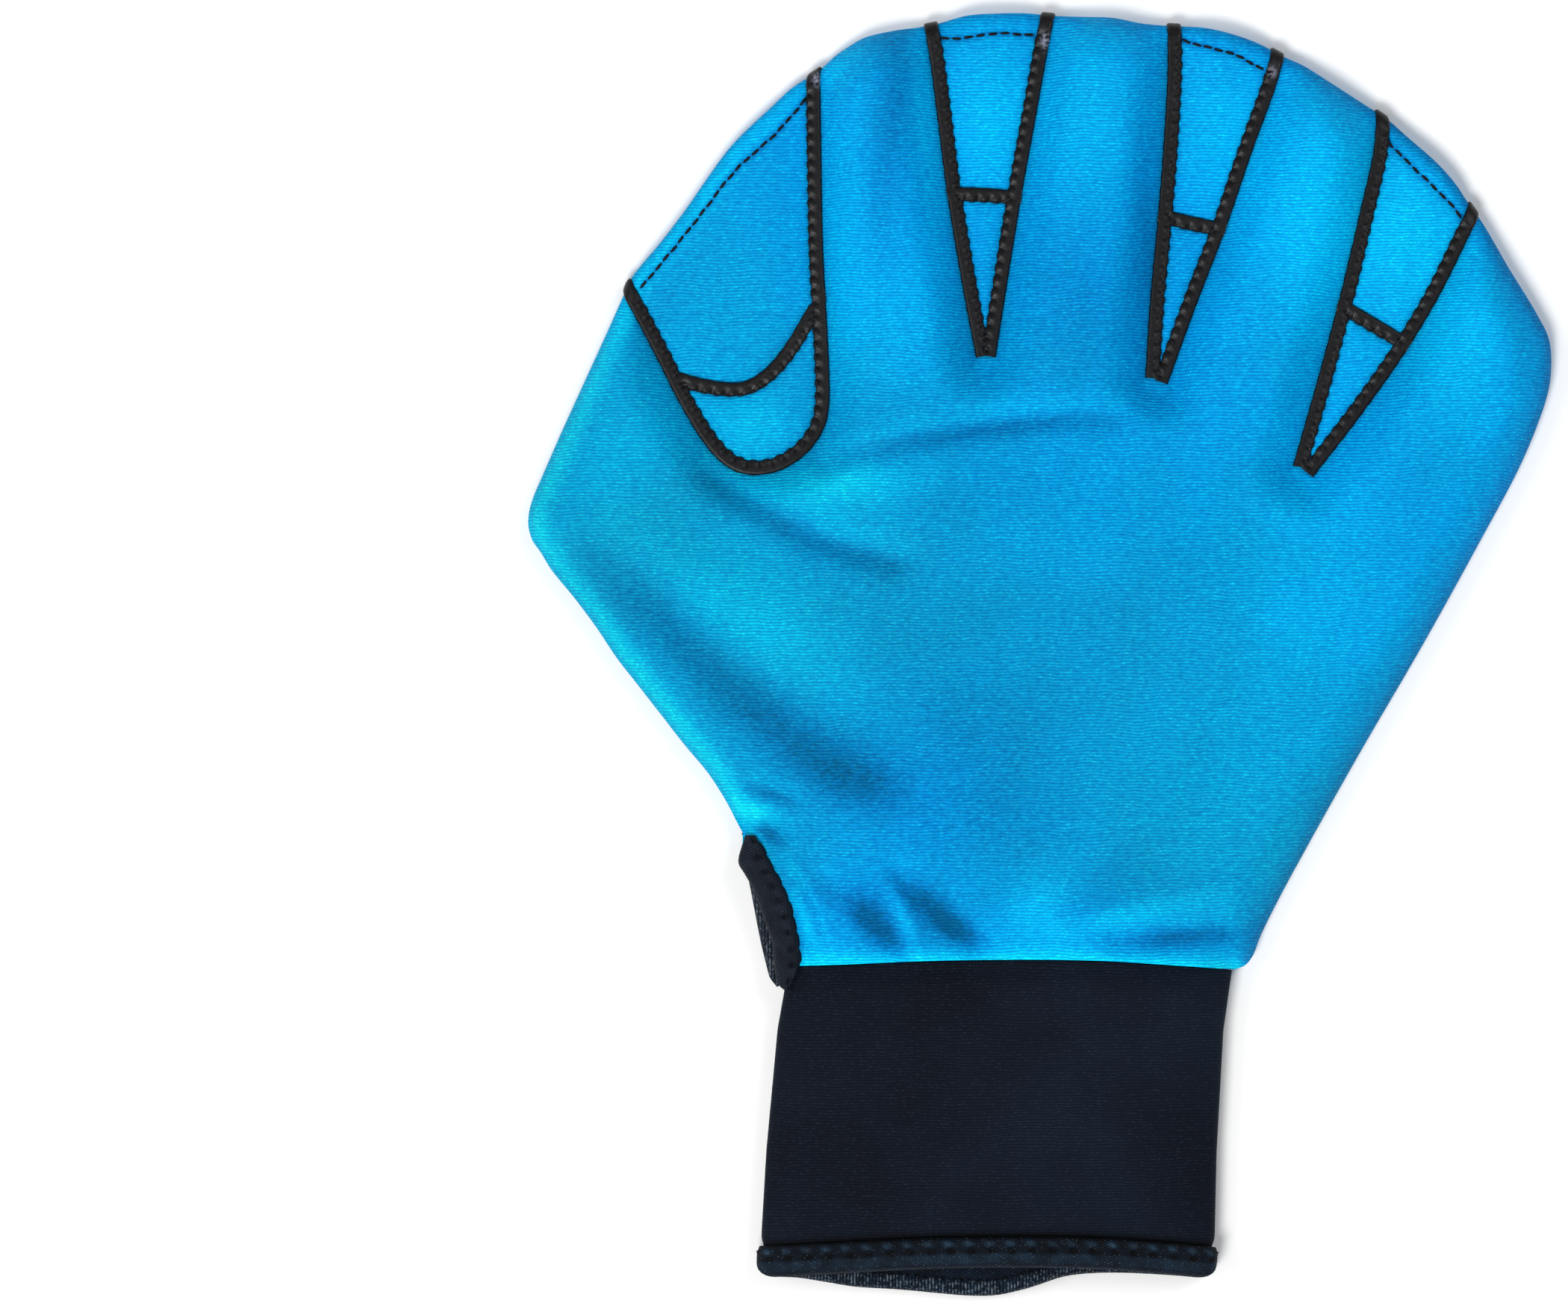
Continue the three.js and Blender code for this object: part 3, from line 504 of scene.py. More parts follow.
def puff_height(m, lag):
    seam = np.maximum(0, m["seam"] - lag)
    tape = np.maximum(0, m["tape"] - lag / 2)
    palm = FINGER_PUFF + PALM_RISE * ease(np.minimum(seam, tape), PUFF_REACH, PALM_REACH)
    depth = lerp(MOUTH_PUFF, palm, ease(m["hem"], 0, MOUTH_REACH))
    full = depth * swell(seam / PUFF_REACH) * swell(tape / PUFF_REACH)
    lift = SLIT_LIFT * swell(m["seam"] / SLIT_RAMP)
    slit_share = swell(m["slit"] / SLIT_REACH)
    puff = lerp(np.minimum(full, lift), full, slit_share)
    return np.where(m["in_web"], 2 * WEB_PUFF * swell(tape / PUFF_REACH), puff)


def front_top(p):
    """Height of the upper face of the front layer."""
    m = measure(front, p)
    nearest = np.minimum(m["seam"], m["tape"])
    fade = swell(nearest / FOLD_FADE) * swell(m["slit"] / SLIT_FADE)
    rim = FOAM * np.maximum(dome(m["seam"] / EDGE_RADIUS), m["openness"])
    height = FRONT_RIM + rim + puff_height(m, 0) + (fold_height(p) + ripple(p)) * fade
    height -= TAPE_PRESS * (1 - ease(m["to_tape"], *TAPE_SHOULDER)) * swell(m["seam"] / EDGE_RADIUS)
    for line in stitch_lines.values():
        height -= THREAD_SINK * np.exp(-(distance_to(line, p) / THREAD_GROOVE) ** 2)
    lip = np.exp(-(m["hem"] / LIP_REACH) ** 2) * swell(m["slit"] / SLIT_FADE)
    return height + LIP_RISE * lip


def front_under(p):
    """Height of the hidden face of the front layer."""
    m = measure(front, p)
    nearest = np.minimum(m["seam"] - FOAM, m["tape"])
    raised = FRONT_RIM + puff_height(m, FOAM * (1 - m["openness"]))
    fade = swell(nearest / FOLD_FADE) * swell(m["slit"] / SLIT_FADE)
    return np.maximum(FRONT_RIM, raised + fold_height(p) * fade)


def rear_under(p):
    """Height of the lower face of the rear layer, which lies on the floor."""
    m = measure(rear, p)
    rim = np.maximum(dome(m["seam"] / EDGE_RADIUS), m["openness"])
    lying = REAR_RIM * (1 - rim)
    hollow = REAR_HOLLOW * (1 - swell(m["tape"] / HOLLOW_REACH)) * (m["seam"] > EDGE_RADIUS)
    bound = CUFF_FLOOR * (1 - ease(m["slit"], 0, BINDING_REACH))
    bed = REAR_BED * (1 - ease(m["to_tape"], *REAR_BED_EDGE)) * (m["seam"] > 0.6)
    return np.maximum.reduce([lying, hollow, bound, bed])


def rear_top(p):
    return np.full(len(p), REAR_RIM)


def rear_level(p):
    """Height of the lower face of the rear layer where the slit binding lies under it."""
    return np.full(len(p), CUFF_FLOOR)


def triangles_in(points, polygons):
    """Triangles through all the points that lie within the polygons."""
    made = delaunay_2d_cdt([Vector(p) for p in points], [], polygons, 1, 1e-5)
    return np.array([tuple(p) for p in made[0]]), [tuple(face) for face in made[2]]


def grid_in(layer, spacing, margin, beside_tapes):
    """Outline stations, rounded rim rows, rows beside the tapes and a staggered grid."""
    outline = layer.outline
    inward = -left_of(directions(layer.closed))[:-1]
    rows = [outline]
    for angle in RIM_ANGLES:
        depth = EDGE_RADIUS * (1 - math.cos(math.radians(angle)))
        row = outline + inward * depth
        rows.append(row[distance_to(layer.closed, row) > depth * 0.9])
    if beside_tapes:
        for line in tape_lines:
            line = even_line(line, spacing)
            side = left_of(directions(line))
            for offset in BESIDE_TAPE:
                row = line + side * offset
                keep = (to_tapes(row) > abs(offset) - 0.25) & is_inside(row, outline)
                keep &= distance_to(layer.closed, row) > margin
                rows.append(row[keep])
    high = outline.max(axis=0)
    low = outline.min(axis=0)
    xs = np.arange(low[0], high[0], spacing)
    ys = np.arange(low[1], high[1], spacing * math.sqrt(0.75))
    grid = np.array([(x + (row % 2) * spacing / 2, y) for row, y in enumerate(ys) for x in xs])
    grid = grid[is_inside(grid, outline)]
    grid = grid[distance_to(layer.closed, grid) > margin]
    if beside_tapes:
        near = to_tapes(grid)
        grid = grid[(near < 0.7) | (near > 3.1)]
        for line in stitch_lines.values():
            line = even_line(line, 0.6)
            side = left_of(directions(line))
            rows.extend(line + side * offset for offset in BESIDE_THREAD)
            grid = grid[distance_to(line, grid) > 1.6]
    return np.vstack(rows + [grid])


def make_object(name, points, faces, **marks):
    """A piece from corners in millimetres. Marks are values at its corners for the finish to read."""
    mesh = bpy.data.meshes.new(name)
    mesh.from_pydata(((np.asarray(points) + TO_FRAME) * MM).tolist(), [], faces)
    for mark, values in marks.items():
        attribute = mesh.attributes.new(mark, "FLOAT", "POINT")
        attribute.data.foreach_set("value", np.clip(values, 0, 1).astype(np.float32))
    piece = bpy.data.objects.new(name, mesh)
    bpy.context.collection.objects.link(piece)
    bpy.ops.object.select_all(action="DESELECT")
    piece.select_set(True)
    bpy.context.view_layer.objects.active = piece
    bpy.ops.object.mode_set(mode="EDIT")
    bpy.ops.mesh.select_all(action="SELECT")
    bpy.ops.mesh.remove_doubles(threshold=2e-6)
    bpy.ops.mesh.dissolve_degenerate(threshold=1e-7)
    bpy.ops.mesh.normals_make_consistent(inside=False)
    bpy.ops.object.mode_set(mode="OBJECT")
    bpy.ops.object.shade_smooth_by_angle(angle=math.radians(55))
    piece.select_set(False)
    return piece


def border_edges(faces):
    """Edges that only one face uses, in that face's order."""
    edges = {}
    for face in faces:
        for a, b in zip(face, face[1:] + face[:1]):
            if (b, a) in edges:
                del edges[b, a]
            else:
                edges[a, b] = True
    return list(edges)


def closed_skin(name, upper, upper_faces, lower, lower_faces):
    """A closed piece from two faces that share one border in plan."""
    count = len(upper)
    faces = list(upper_faces) + [tuple(count + i for i in reversed(face)) for face in lower_faces]
    below = {(round(x, 3), round(y, 3)): count + i for i, (x, y) in enumerate(lower[:, :2])}
    for a, b in border_edges(upper_faces):
        low_a = below[tuple(np.round(upper[a, :2], 3))]
        low_b = below[tuple(np.round(upper[b, :2], 3))]
        faces.append((b, a, low_a, low_b))
    return make_object(name, np.vstack([upper, lower]), faces)


def with_height(p, height):
    return np.column_stack([p, height(p)])


def make_layer(name, layer, upper_height, lower_height, upper_spacing, lower_spacing):
    """One foam panel with its outer and hidden face."""
    ring = [list(range(len(layer.outline)))]
    skins = []
    for spacing, fine in ((upper_spacing, upper_spacing < 3), (lower_spacing, lower_spacing < 3)):
        margin = EDGE_RADIUS + spacing * 0.35
        skins.append(triangles_in(grid_in(layer, spacing, margin, fine), ring))
    (upper, upper_faces), (lower, lower_faces) = skins
    outer = with_height(upper, upper_height)
    hidden = with_height(lower, lower_height)
    return closed_skin(name, outer, upper_faces, hidden, lower_faces)


def relief(p):
    return fold_height(p) + ripple(p)


def slope_away_from_light(height, p):
    step = 0.7
    return (height(p + AWAY_FROM_PAINTED_LIGHT * step) - height(p - AWAY_FROM_PAINTED_LIGHT * step)) / (2 * step)


def paint_tone(piece, layer, outer_is_up):
    """Stores the painted shade and highlights, and how pale or deep the knit is, at each corner of the piece.
    """
    mesh = piece.data
    places = np.empty(len(mesh.vertices) * 3)
    mesh.vertices.foreach_get("co", places)
    p = (places.reshape(-1, 3) / MM - TO_FRAME)[:, :2]
    tone = np.zeros(len(p))
    for (x, y), (wide, tall), lean, strength in SHADE_AND_TONE_PATCHES.values():
        turn = math.radians(lean)
        along = (p[:, 0] - x) * math.cos(turn) + (p[:, 1] - y) * math.sin(turn)
        across = (p[:, 1] - y) * math.cos(turn) - (p[:, 0] - x) * math.sin(turn)
        tone += strength * np.exp(-(along / wide) ** 2 - (across / tall) ** 2)
    if outer_is_up:
        # Painted highlight and shade from the slopes of the folds
        tone += SLOPE_SHADING_CONTRAST * np.clip(slope_away_from_light(relief, p), -0.5, 0.5)
        # Painted highlight on the lit rims and painted shade on the rims turned away
        seam, _, run = nearest_on(layer.sewn, p)
        lit = -(left_of(run) @ SHADED_SIDE)
        tone += RIM_HIGHLIGHT * np.maximum(lit, 0) * np.exp(-((seam - RIM_HIGHLIGHT_PLACE) / RIM_SPREAD) ** 2)
        tone -= RIM_SHADE * np.maximum(-lit, 0) * np.exp(-(seam / RIM_SPREAD) ** 2)
        # Painted highlight along the rolled lip of the hem
        hem = distance_to(layer.hem, p)
        tone += HEM_HIGHLIGHT * np.exp(-(hem / HEM_SPREAD) ** 2)
        # Painted shade beside the tapes and in the grooves of the top stitches
        tone -= TAPE_SHADE * np.exp(-((to_tapes(p) - TAPE_SHADE_PLACE) / TAPE_SHADE_SPREAD) ** 2)
        for line in stitch_lines.values():
            tone -= THREAD_SHADE * np.exp(-(distance_to(line, p) / THREAD_SHADE_SPREAD) ** 2)
    from_patch = np.hypot(*(p - BLUE_PATCH).T) / BLUE_REACH
    bluer = ease(p @ BLUER, *BLUER_SPAN) + PATCH_BLUE * np.exp(-from_patch**2)
    bluer += HEM_BLUE * (1 - ease(p[:, 1], 0, HEM_BLUE_REACH))
    for mark, value in (("tone", 0.5 + tone / 2), ("bluer", bluer)):
        attribute = mesh.attributes.new(mark, "FLOAT", "POINT")
        attribute.data.foreach_set("value", np.clip(value, 0, 1).astype(np.float32))


# Tapes

def bent_over_rim(p, lift, side):
    """Places on the cloth's face, lifted off it, and bent down over the rounded rim of the hand."""
    layer, rim = (front, FRONT_RIM) if side > 0 else (rear, REAR_RIM)
    distance, foot, run = nearest_on(layer.closed, p)
    out = left_of(run)
    inside = is_inside(p, layer.outline)
    depth = np.where(inside, distance, -distance)
    angle = np.clip((EDGE_RADIUS - depth) / ((EDGE_RADIUS + FOAM) / 2), 0, math.pi / 2)
    raised = lift + (REAR_TAPE_LIFT * np.sin(angle) if side < 0 else 0)
    new_depth = np.where(angle > 0, EDGE_RADIUS - (EDGE_RADIUS + raised) * np.sin(angle), depth)
    place = np.where((angle > 0)[:, None], foot - out * new_depth[:, None], p)
    height = rim + side * ((FOAM + raised) * np.cos(angle) + TAPE_END_GAP * (angle >= math.pi / 2))
    return np.column_stack([place, height])


def thread_places(run, offset):
    """Places and directions of the stitches along the inner side of a tape, off its middle."""
    line = run["stations"]
    line = line + left_of(directions(line)) * offset * run["stitch"]
    fine = even_line(line, THREAD_STEP)
    free = [OPEN_END if is_open else CLOSED_END for is_open in run["open"]]
    spaced = even_line(fine[free[0]:len(fine) - free[1]], TAPE_STITCH)
    return spaced, directions(spaced)


def make_tape(name, runs, side):
    """One bonded tape round a web: its runs joined in plan, lifted and bent over the rim."""
    half = TAPE_WIDTH / 2
    points = []
    polygons = []
    centre_lines = []
    holes = np.vstack([thread_places(run, HOLE_OFF_MIDDLE)[0] for run in runs])
    for run in runs:
        is_bar = len(run["line"]) <= 3
        closed_reach = 0.0 if run["open"][0] and not is_bar else half
        reach = [TAPE_OVERHANG if is_open else closed_reach for is_open in run["open"]]
        line = even_line(longer(run["stations"], *reach), TAPE_STEP)
        centre_lines.append(longer(line, TAPE_RUN_ON * (run["open"][0] or is_bar), TAPE_RUN_ON))
        across = left_of(directions(line))
        wander = TAPE_WANDER * np.sin(np.arange(len(line)) * 0.9)[:, None]
        start = len(points)
        size = len(line)
        for offset in TAPE_ROWS:
            points.extend(line + across * (half * offset + wander))
        last = start + (len(TAPE_ROWS) - 1) * size
        polygons.append(list(range(start, start + size)) + list(range(last + size - 1, last - 1, -1)))
    points = np.array(points)
    p, faces = triangles_in(points, polygons)
    centres = p[np.array(faces)].mean(axis=1)
    within = np.any([is_inside(centres, points[polygon]) for polygon in polygons], axis=0)
    faces = [face for face, keep in zip(faces, within) if keep]
    inner = half - np.min([distance_to(line, p) for line in centre_lines], axis=0)
    thickness = TAPE_THICKNESS * lerp(0.45, 1, dome(inner / TAPE_ROUND))
    pit = np.zeros(len(p))
    for hole in holes:
        pit += np.exp(-(((p - hole) ** 2).sum(axis=1)) / HOLE_REACH**2)
    thickness -= HOLE_DEPTH * np.minimum(pit, 1)
    bed = -TAPE_BED if side > 0 else -0.1 - TAPE_THICKNESS
    outer = bent_over_rim(p, bed + thickness, side)
    under = bent_over_rim(p, np.full(len(p), bed), side)
    count = len(p)
    turned = [tuple(count + i for i in reversed(face)) for face in faces]
    walls = [(b, a, count + a, count + b) for a, b in border_edges(faces)]
    gleam = sum(np.exp(-(((p - spot) / (0.8, long)) ** 2).sum(axis=1)) for spot, long in GLEAM_SPOTS) * (side > 0)
    marks = {"gleam": np.concatenate([gleam, gleam * 0]), "pit": np.concatenate([pit, pit * 0])}
    return make_object(name, np.vstack([outer, under]), faces + turned + walls, **marks)


# Thread

def stitch_shape(length, thickness):
    """One stitch lying along X, its ends pulled down into the cloth."""
    bpy.ops.mesh.primitive_uv_sphere_add(segments=6, ring_count=6, radius=1, rotation=(0, math.pi / 2, 0))
    stitch = bpy.context.object
    bpy.ops.object.transform_apply(location=False, rotation=True, scale=False)
    bpy.ops.object.mode_set(mode="EDIT")
    bpy.ops.transform.resize(value=(length / 2, thickness / 2, thickness / 2))
    bpy.ops.object.mode_set(mode="OBJECT")
    for side in (-1, 1):
        bpy.ops.object.mode_set(mode="EDIT")
        bpy.ops.mesh.select_all(action="DESELECT")
        bpy.ops.object.mode_set(mode="OBJECT")
        for vertex in stitch.data.vertices:
            vertex.select = side * vertex.co.x > length * 0.4
        bpy.ops.object.mode_set(mode="EDIT")
        bpy.ops.transform.translate(value=(-side * length * 0.03, 0, -thickness * 0.55))
        bpy.ops.object.mode_set(mode="OBJECT")
    corners = np.array([vertex.co[:] for vertex in stitch.data.vertices])
    faces = [tuple(polygon.vertices) for polygon in stitch.data.polygons]
    bpy.data.objects.remove(stitch, do_unlink=True)
    return corners, faces


def sew(name, shape, places, runs, heights, side=1):
    """Copies of one stitch at the places, along the runs, joined as one piece."""
    corners, faces = shape
    points = []
    joined = []
    for index, (place, run, height) in enumerate(zip(places, runs, heights)):
        cross = np.array([-run[1], run[0]])
        flat = place + corners[:, :1] * run + corners[:, 1:2] * cross
        points.append(np.column_stack([flat, height + side * corners[:, 2]]))
        start = index * len(corners)
        joined.extend(tuple(start + i for i in face) for face in faces)
    return make_object(name, np.vstack(points), joined)


# Cuff and its binding

def cuff_section(down):
    rows = np.array([0, 0.2, 0.6, 1])
    left = np.interp(down, rows, [0.010, -0.014, -0.039, -0.055]) * CUFF_WIDTH
    half = np.interp(down, rows, [0.985, 0.99, 1.0, 1.01]) * CUFF_WIDTH / 2
    top = CUFF_FLOOR + np.interp(down, rows, [1.0, 0.93, 0.9, 1.0]) * CUFF_HEIGHT
    return SLIT[0][0] + left + half, half, top


hem_curve = smooth_line(HEM, 2.0)[::-1]
droop_curve = smooth_line(DROOP, 1.0)
BINDING_TOP = 1 - (HEM_HEIGHT - BINDING_CLOTH - CLEARANCE) / CUFF_LENGTH


def hem_at(x):
    return np.interp(x, hem_curve[:, 0], hem_curve[:, 1])


def cuff_ring(turn, down, inset):
    """One ring of the flattened cuff: down is its share of the length, inset its depth in the cloth."""
    middle, half, top = cuff_section(down)
    bound = np.clip((down - BINDING_TOP) / (1 - BINDING_TOP), 0, 1)
    half -= HEM_SQUEEZE * ease(bound, 0, 0.2)
    cos, sin = np.cos(turn), np.sin(turn)
    up, low = np.maximum(sin, 0), np.maximum(-sin, 0)
    x = middle + (half - inset) * cos
    tucked = CUFF_TUCK * (1 - ease(down * CUFF_LENGTH, 0, TUCK_REACH))
    wave = 0.3 * np.sin(x / 8.5 + 3 * down) * np.sin(math.pi * down) + 0.2 * np.sin(x / 15 - 5 * down)
    front_z = CUFF_FOLD + (top - tucked - inset - CUFF_FOLD) * up**0.75 + wave * up
    rear_z = CUFF_FOLD - (CUFF_FOLD - CUFF_FLOOR - inset) * low**0.35
    z = np.where(sin >= 0, front_z, rear_z)
    droop = np.interp(middle + half * cos, droop_curve[:, 0], droop_curve[:, 1]) * ease(low, 0, 0.5)
    length = CUFF_LENGTH - HEM_ARCH * up + droop
    beyond = np.clip(1 - half * (1 - np.abs(cos)) / HEM_CORNER, 0, 1)
    corner = HEM_CORNER * (1 - np.sqrt(1 - beyond**2)) * bound
    y = hem_at(middle + half * cos) - CLEARANCE - down * length + corner
    return np.column_stack([x, y, np.maximum(z, OFF_FLOOR)])


def ring_piece(name, rows, **marks):
    """A closed piece from rings that follow one another round a section."""
    count = len(rows[0])
    faces = []
    for i in range(len(rows)):
        here, after = i * count, ((i + 1) % len(rows)) * count
        for j in range(count):
            k = (j + 1) % count
            faces.append((here + j, here + k, after + k, after + j))
    marks = {mark: np.concatenate(values) for mark, values in marks.items()}
    return make_object(name, np.vstack(rows), faces, **marks)


def make_cuff():
    turn = np.linspace(0, 2 * math.pi, 180, endpoint=False)
    downs = np.concatenate([np.linspace(0, 0.87, 52), np.linspace(0.88, BINDING_TOP + 0.02, 12), [1]])
    rows = []
    pressed = []
    for down in downs:
        over_gap = (BINDING_TOP - down) * CUFF_LENGTH
        pinch = GROOVE_DEPTH * math.exp(-((over_gap / GROOVE_REACH) ** 2))
        rows.append(cuff_ring(turn, down, pinch))
        # Painted shadow in the groove over the binding
        pressed.append(np.full(len(turn), math.exp(-((over_gap / GROOVE_SHADE) ** 2))))
    for down in np.linspace(1, 0, 24):
        rows.append(cuff_ring(turn, down, CUFF_CLOTH))
        pressed.append(np.zeros(len(turn)))
    for inset, lift in ((1.6, 0.0), (0.9, 0.18), (0.35, 0.12)):
        rows.append(cuff_ring(turn, 0, inset) + (0, lift, 0))
        pressed.append(np.zeros(len(turn)))
    return ring_piece("cuff_tube", rows, pressed=pressed)


def hem_relief(run, share):
    """Lumps and stitch dents of the binding, run along it and share down from its upper edge."""
    beat = 2 * math.pi * run / HEM_STITCH
    lump_row, lump_spread = 0.24, 0.16
    dent_row, dent_spread = 0.5, 0.13
    leaning = beat + 4 * (share - lump_row)
    lump = np.exp(-((share - lump_row) / lump_spread) ** 2) * (0.5 + 0.5 * np.cos(leaning)) ** 1.4
    dent = np.exp(-((share - dent_row) / dent_spread) ** 2) * (0.5 + 0.5 * np.cos(beat + 0.8)) ** 2.6
    return lump, dent


def make_cuff_binding():
    turn = np.linspace(0, 2 * math.pi, 760, endpoint=False)
    ring = cuff_ring(turn, 1.0, 0)
    steps = np.linalg.norm(np.diff(np.vstack([ring, ring[:1]]), axis=0), axis=1)
    run = np.concatenate([[0], np.cumsum(steps[:-1])])
    run *= HEM_STITCH * round(steps.sum() / HEM_STITCH) / steps.sum()
    is_rear = ease(-np.sin(turn), 0.02, 0.12)
    rows, tone, loops = [], [], []

    def add(row, shade, looped):
        rows.append(row)
        tone.append(shade + np.zeros(len(turn)))
        loops.append(looped + np.zeros(len(turn)))

    for share in np.linspace(0, 1, 20):
        lump, dent = hem_relief(run, share)
        cloth = CLEARANCE + BINDING_CLOTH * (0.35 + 0.65 * dome(share * 6))
        level = 0.3 + 0.7 * np.sqrt(np.abs(np.sin(turn)))
        raised = (0.35 * math.sin(math.pi * share) + 0.4 * lump - 0.6 * dent) * level
        # Painted shadow under the upper edge, painted highlights on the lumps, painted shade in the stitch
        # dents, and a paler lower band
        shade = 0.2 * ease(share, 0, 0.2) + 0.36 * ease(share, 0.56, 0.7) + 0.75 * lump - 0.4 * dent
        row = cuff_ring(turn, lerp(BINDING_TOP, 1, share), -cloth - raised)
        row[:, 1] -= np.abs(np.cos(turn)) ** 40 * (1 - share) ** 3
        add(row, shade, is_rear * (share > 0.5))
    middle = CUFF_CLOTH / 2
    wide = middle + CLEARANCE + BINDING_CLOTH
    for angle in np.linspace(0, math.pi, 11)[1:-1]:
        drop = (CLEARANCE + BINDING_CLOTH) * math.sin(angle)
        add(cuff_ring(turn, 1, middle - wide * math.cos(angle)) - (0, drop, 0), 0.4, is_rear)
    for share in np.linspace(1, 0, 20):
        seam = math.exp(-(((share - 0.6) / 0.07) ** 2)) * (0.6 + 0.4 * np.cos(2 * math.pi * run / 1.9))
        inset = CUFF_CLOTH + CLEARANCE + BINDING_CLOTH - 0.5 * seam
        add(cuff_ring(turn, lerp(BINDING_TOP, 1, share), inset), 0.46 - 0.46 * seam, is_rear * (share > 0.64))
    for share in (0, 1):
        add(cuff_ring(turn, lerp(BINDING_TOP, 1, share), CUFF_CLOTH + CLEARANCE), 0.3, 0)
    add(cuff_ring(turn, 1, middle) - (0, CLEARANCE, 0), 0.3, 0)
    for share in (1, 0):
        add(cuff_ring(turn, lerp(BINDING_TOP, 1, share), -CLEARANCE), 0.3, 0)
    return ring_piece("cuff_hem_binding", rows, tone=tone, loops=loops)


# Bindings of the slit

def over_cuff(p):
    middle, half, _ = cuff_section(0.07)
    turn = np.arccos(np.clip((p[:, 0] - middle) / half, -1, 1))
    return np.array([cuff_ring(np.array([t]), 0.07, 0)[0, 2] for t in turn])


def front_bound(p):
    on_cuff = np.maximum(over_cuff(p), FRONT_RIM + FOAM + SLIT_LIFT - 0.6)
    share = ease(hem_at(p[:, 0]) + 2.0 - p[:, 1], 0, 2.5)
    return lerp(front_top(p), on_cuff, share) + 0.2


def slit_edges(layer):
    """Left and right edge of a slit's binding, worked out from the slit itself."""
    line = layer.slit[::-1]
    tab = line[-1] + np.array([[0.35, -1.4], [0.7, -2.8], [1.18, -4.2]])
    line = even_line(np.vstack([line, tab]), 0.5)
    side = left_of(directions(line))
    to_end = np.minimum(np.arange(len(line)), np.arange(len(line))[::-1]) / len(line)
    reach = BINDING_REACH * np.minimum(1, 0.3 + 0.7 * to_end / 0.2)
    from_top = np.arange(len(line)) / len(line)
    beyond = (BINDING_WIDTH - BINDING_REACH) * lerp(0.25, 1, ease(from_top, 0, 0.3))
    beyond *= 1 - 0.8 * ease(from_top, 0.9, 1)
    return line - side * beyond[:, None], line + side * reach[:, None]


def make_slit_binding(name, edges, outer_height, inner_height, outward):
    """A folded strip: a leaf on the outer face, a round fold, and a leaf inside the slit."""
    left, right = edges
    count = len(left)
    width = np.linalg.norm(right - left, axis=1)
    across = (right - left) / width[:, None]
    middle = (left + right) / 2
    run = np.concatenate([[0], np.cumsum(np.linalg.norm(np.diff(middle, axis=0), axis=1))])
    to_tip = run[-1] - run
    closing = ease(4.0 - to_tip, 0, 2.0)
    half = BINDING_CLOTH / 2
    fold = np.minimum(1.3, width * 0.3)
    path = [(share, 0, 0) for share in (1, 0.86, 0.72, 0.58, 0.44, 0.3, 0.15, 0)]
    path += [(0, angle / 8, math.sin(math.pi * angle / 8)) for angle in range(1, 8)]
    path += [(share, 1, 0) for share in (0, 0.3, 0.6, 0.8)]
    beat = 2 * math.pi * (run - 1.2) / SLIT_STITCH
    drawn = np.maximum(0, np.cos(beat)) ** 2
    centre = []
    for share, depth, bulge in path:
        wide = fold + share * (width - fold - half) - bulge * (fold - half)
        p = left + across * np.maximum(wide, BINDING_WIDTH - BINDING_REACH)[:, None]
        high = outer_height(p) + outward * (CLEARANCE + half)
        low = inner_height(p) - outward * (CLEARANCE + half)
        low = lerp(low, high - outward * CLOSED_GAP, closing)
        height = lerp(high, low, (1 - math.cos(math.pi * depth)) / 2)
        at_edge = (share > 0.9) * (depth == 0)
        rolled = EDGE_ROLL * outward * at_edge
        centre.append(np.column_stack([wide - SCALLOP * at_edge * drawn, height - rolled]))
    centre = np.array(centre)
    bend = np.gradient(centre, axis=0)
    bend /= np.linalg.norm(bend, axis=2)[:, :, None]
    thick = np.stack([bend[:, :, 1], -bend[:, :, 0]], axis=2) * half * outward
    rows, tone = [], []
    for sign in (1, -1):
        order = range(len(path)) if sign > 0 else reversed(range(len(path)))
        for index in order:
            share, depth, _ = path[index]
            upper = sign > 0 and depth == 0
            dent = upper * math.exp(-(((share - 0.62) / 0.14) ** 2)) * drawn
            plump = 1 + upper * (0.7 * math.sin(math.pi * min(1, share)) - 2.2 * dent)
            section = centre[index] + sign * thick[index] * np.reshape(plump, (-1, 1))
            level = np.maximum(section[:, 1], OFF_FLOOR)
            rows.append(np.column_stack([left + across * section[:, :1], level]))
            # Painted shade in the stitch dents and along the edge that rounds down to the cloth
            tone.append(0.5 - 0.5 * dent - 0.24 * upper * ease(share, 0.72, 1) * (0.5 + 0.5 * drawn))
    size = len(rows)
    faces = []
    for i in range(size):
        after = (i + 1) % size
        for j in range(count - 1):
            faces.append((i * count + j, i * count + j + 1, after * count + j + 1, after * count + j))
    for j in (0, count - 1):
        for i in range(size // 2 - 1):
            mirror = size - 1 - i
            faces.append((i * count + j, (i + 1) * count + j, (mirror - 1) * count + j, mirror * count + j))
    tone = np.concatenate(tone)
    return make_object(name, np.vstack(rows), faces, tone=tone, loops=tone * 0 + (outward < 0))


# Materials

# Screen colours from deep to pale
FOAM_BLUES = [(1, 96, 142), (2, 128, 190), (3, 162, 222), (3, 196, 244), (8, 230, 255)]
CUFF_BLACKS = [(9, 13, 23), (13, 20, 32), (18, 28, 42)]
TAPE_BLACKS = [(10, 10, 12), (17, 16, 18), (34, 33, 36)]
THREAD_BLACKS = [(6, 7, 9), (14, 15, 18), (34, 36, 42)]
NAVY_TWILL = [(24, 40, 56), (38, 62, 86), (52, 84, 112)]
BLACK_TWILL = [(44, 51, 65), (58, 67, 83), (73, 83, 102)]
TWILL_PAINTED_SHADING = [(6, 8, 12), (122, 132, 140), (255, 250, 235)]
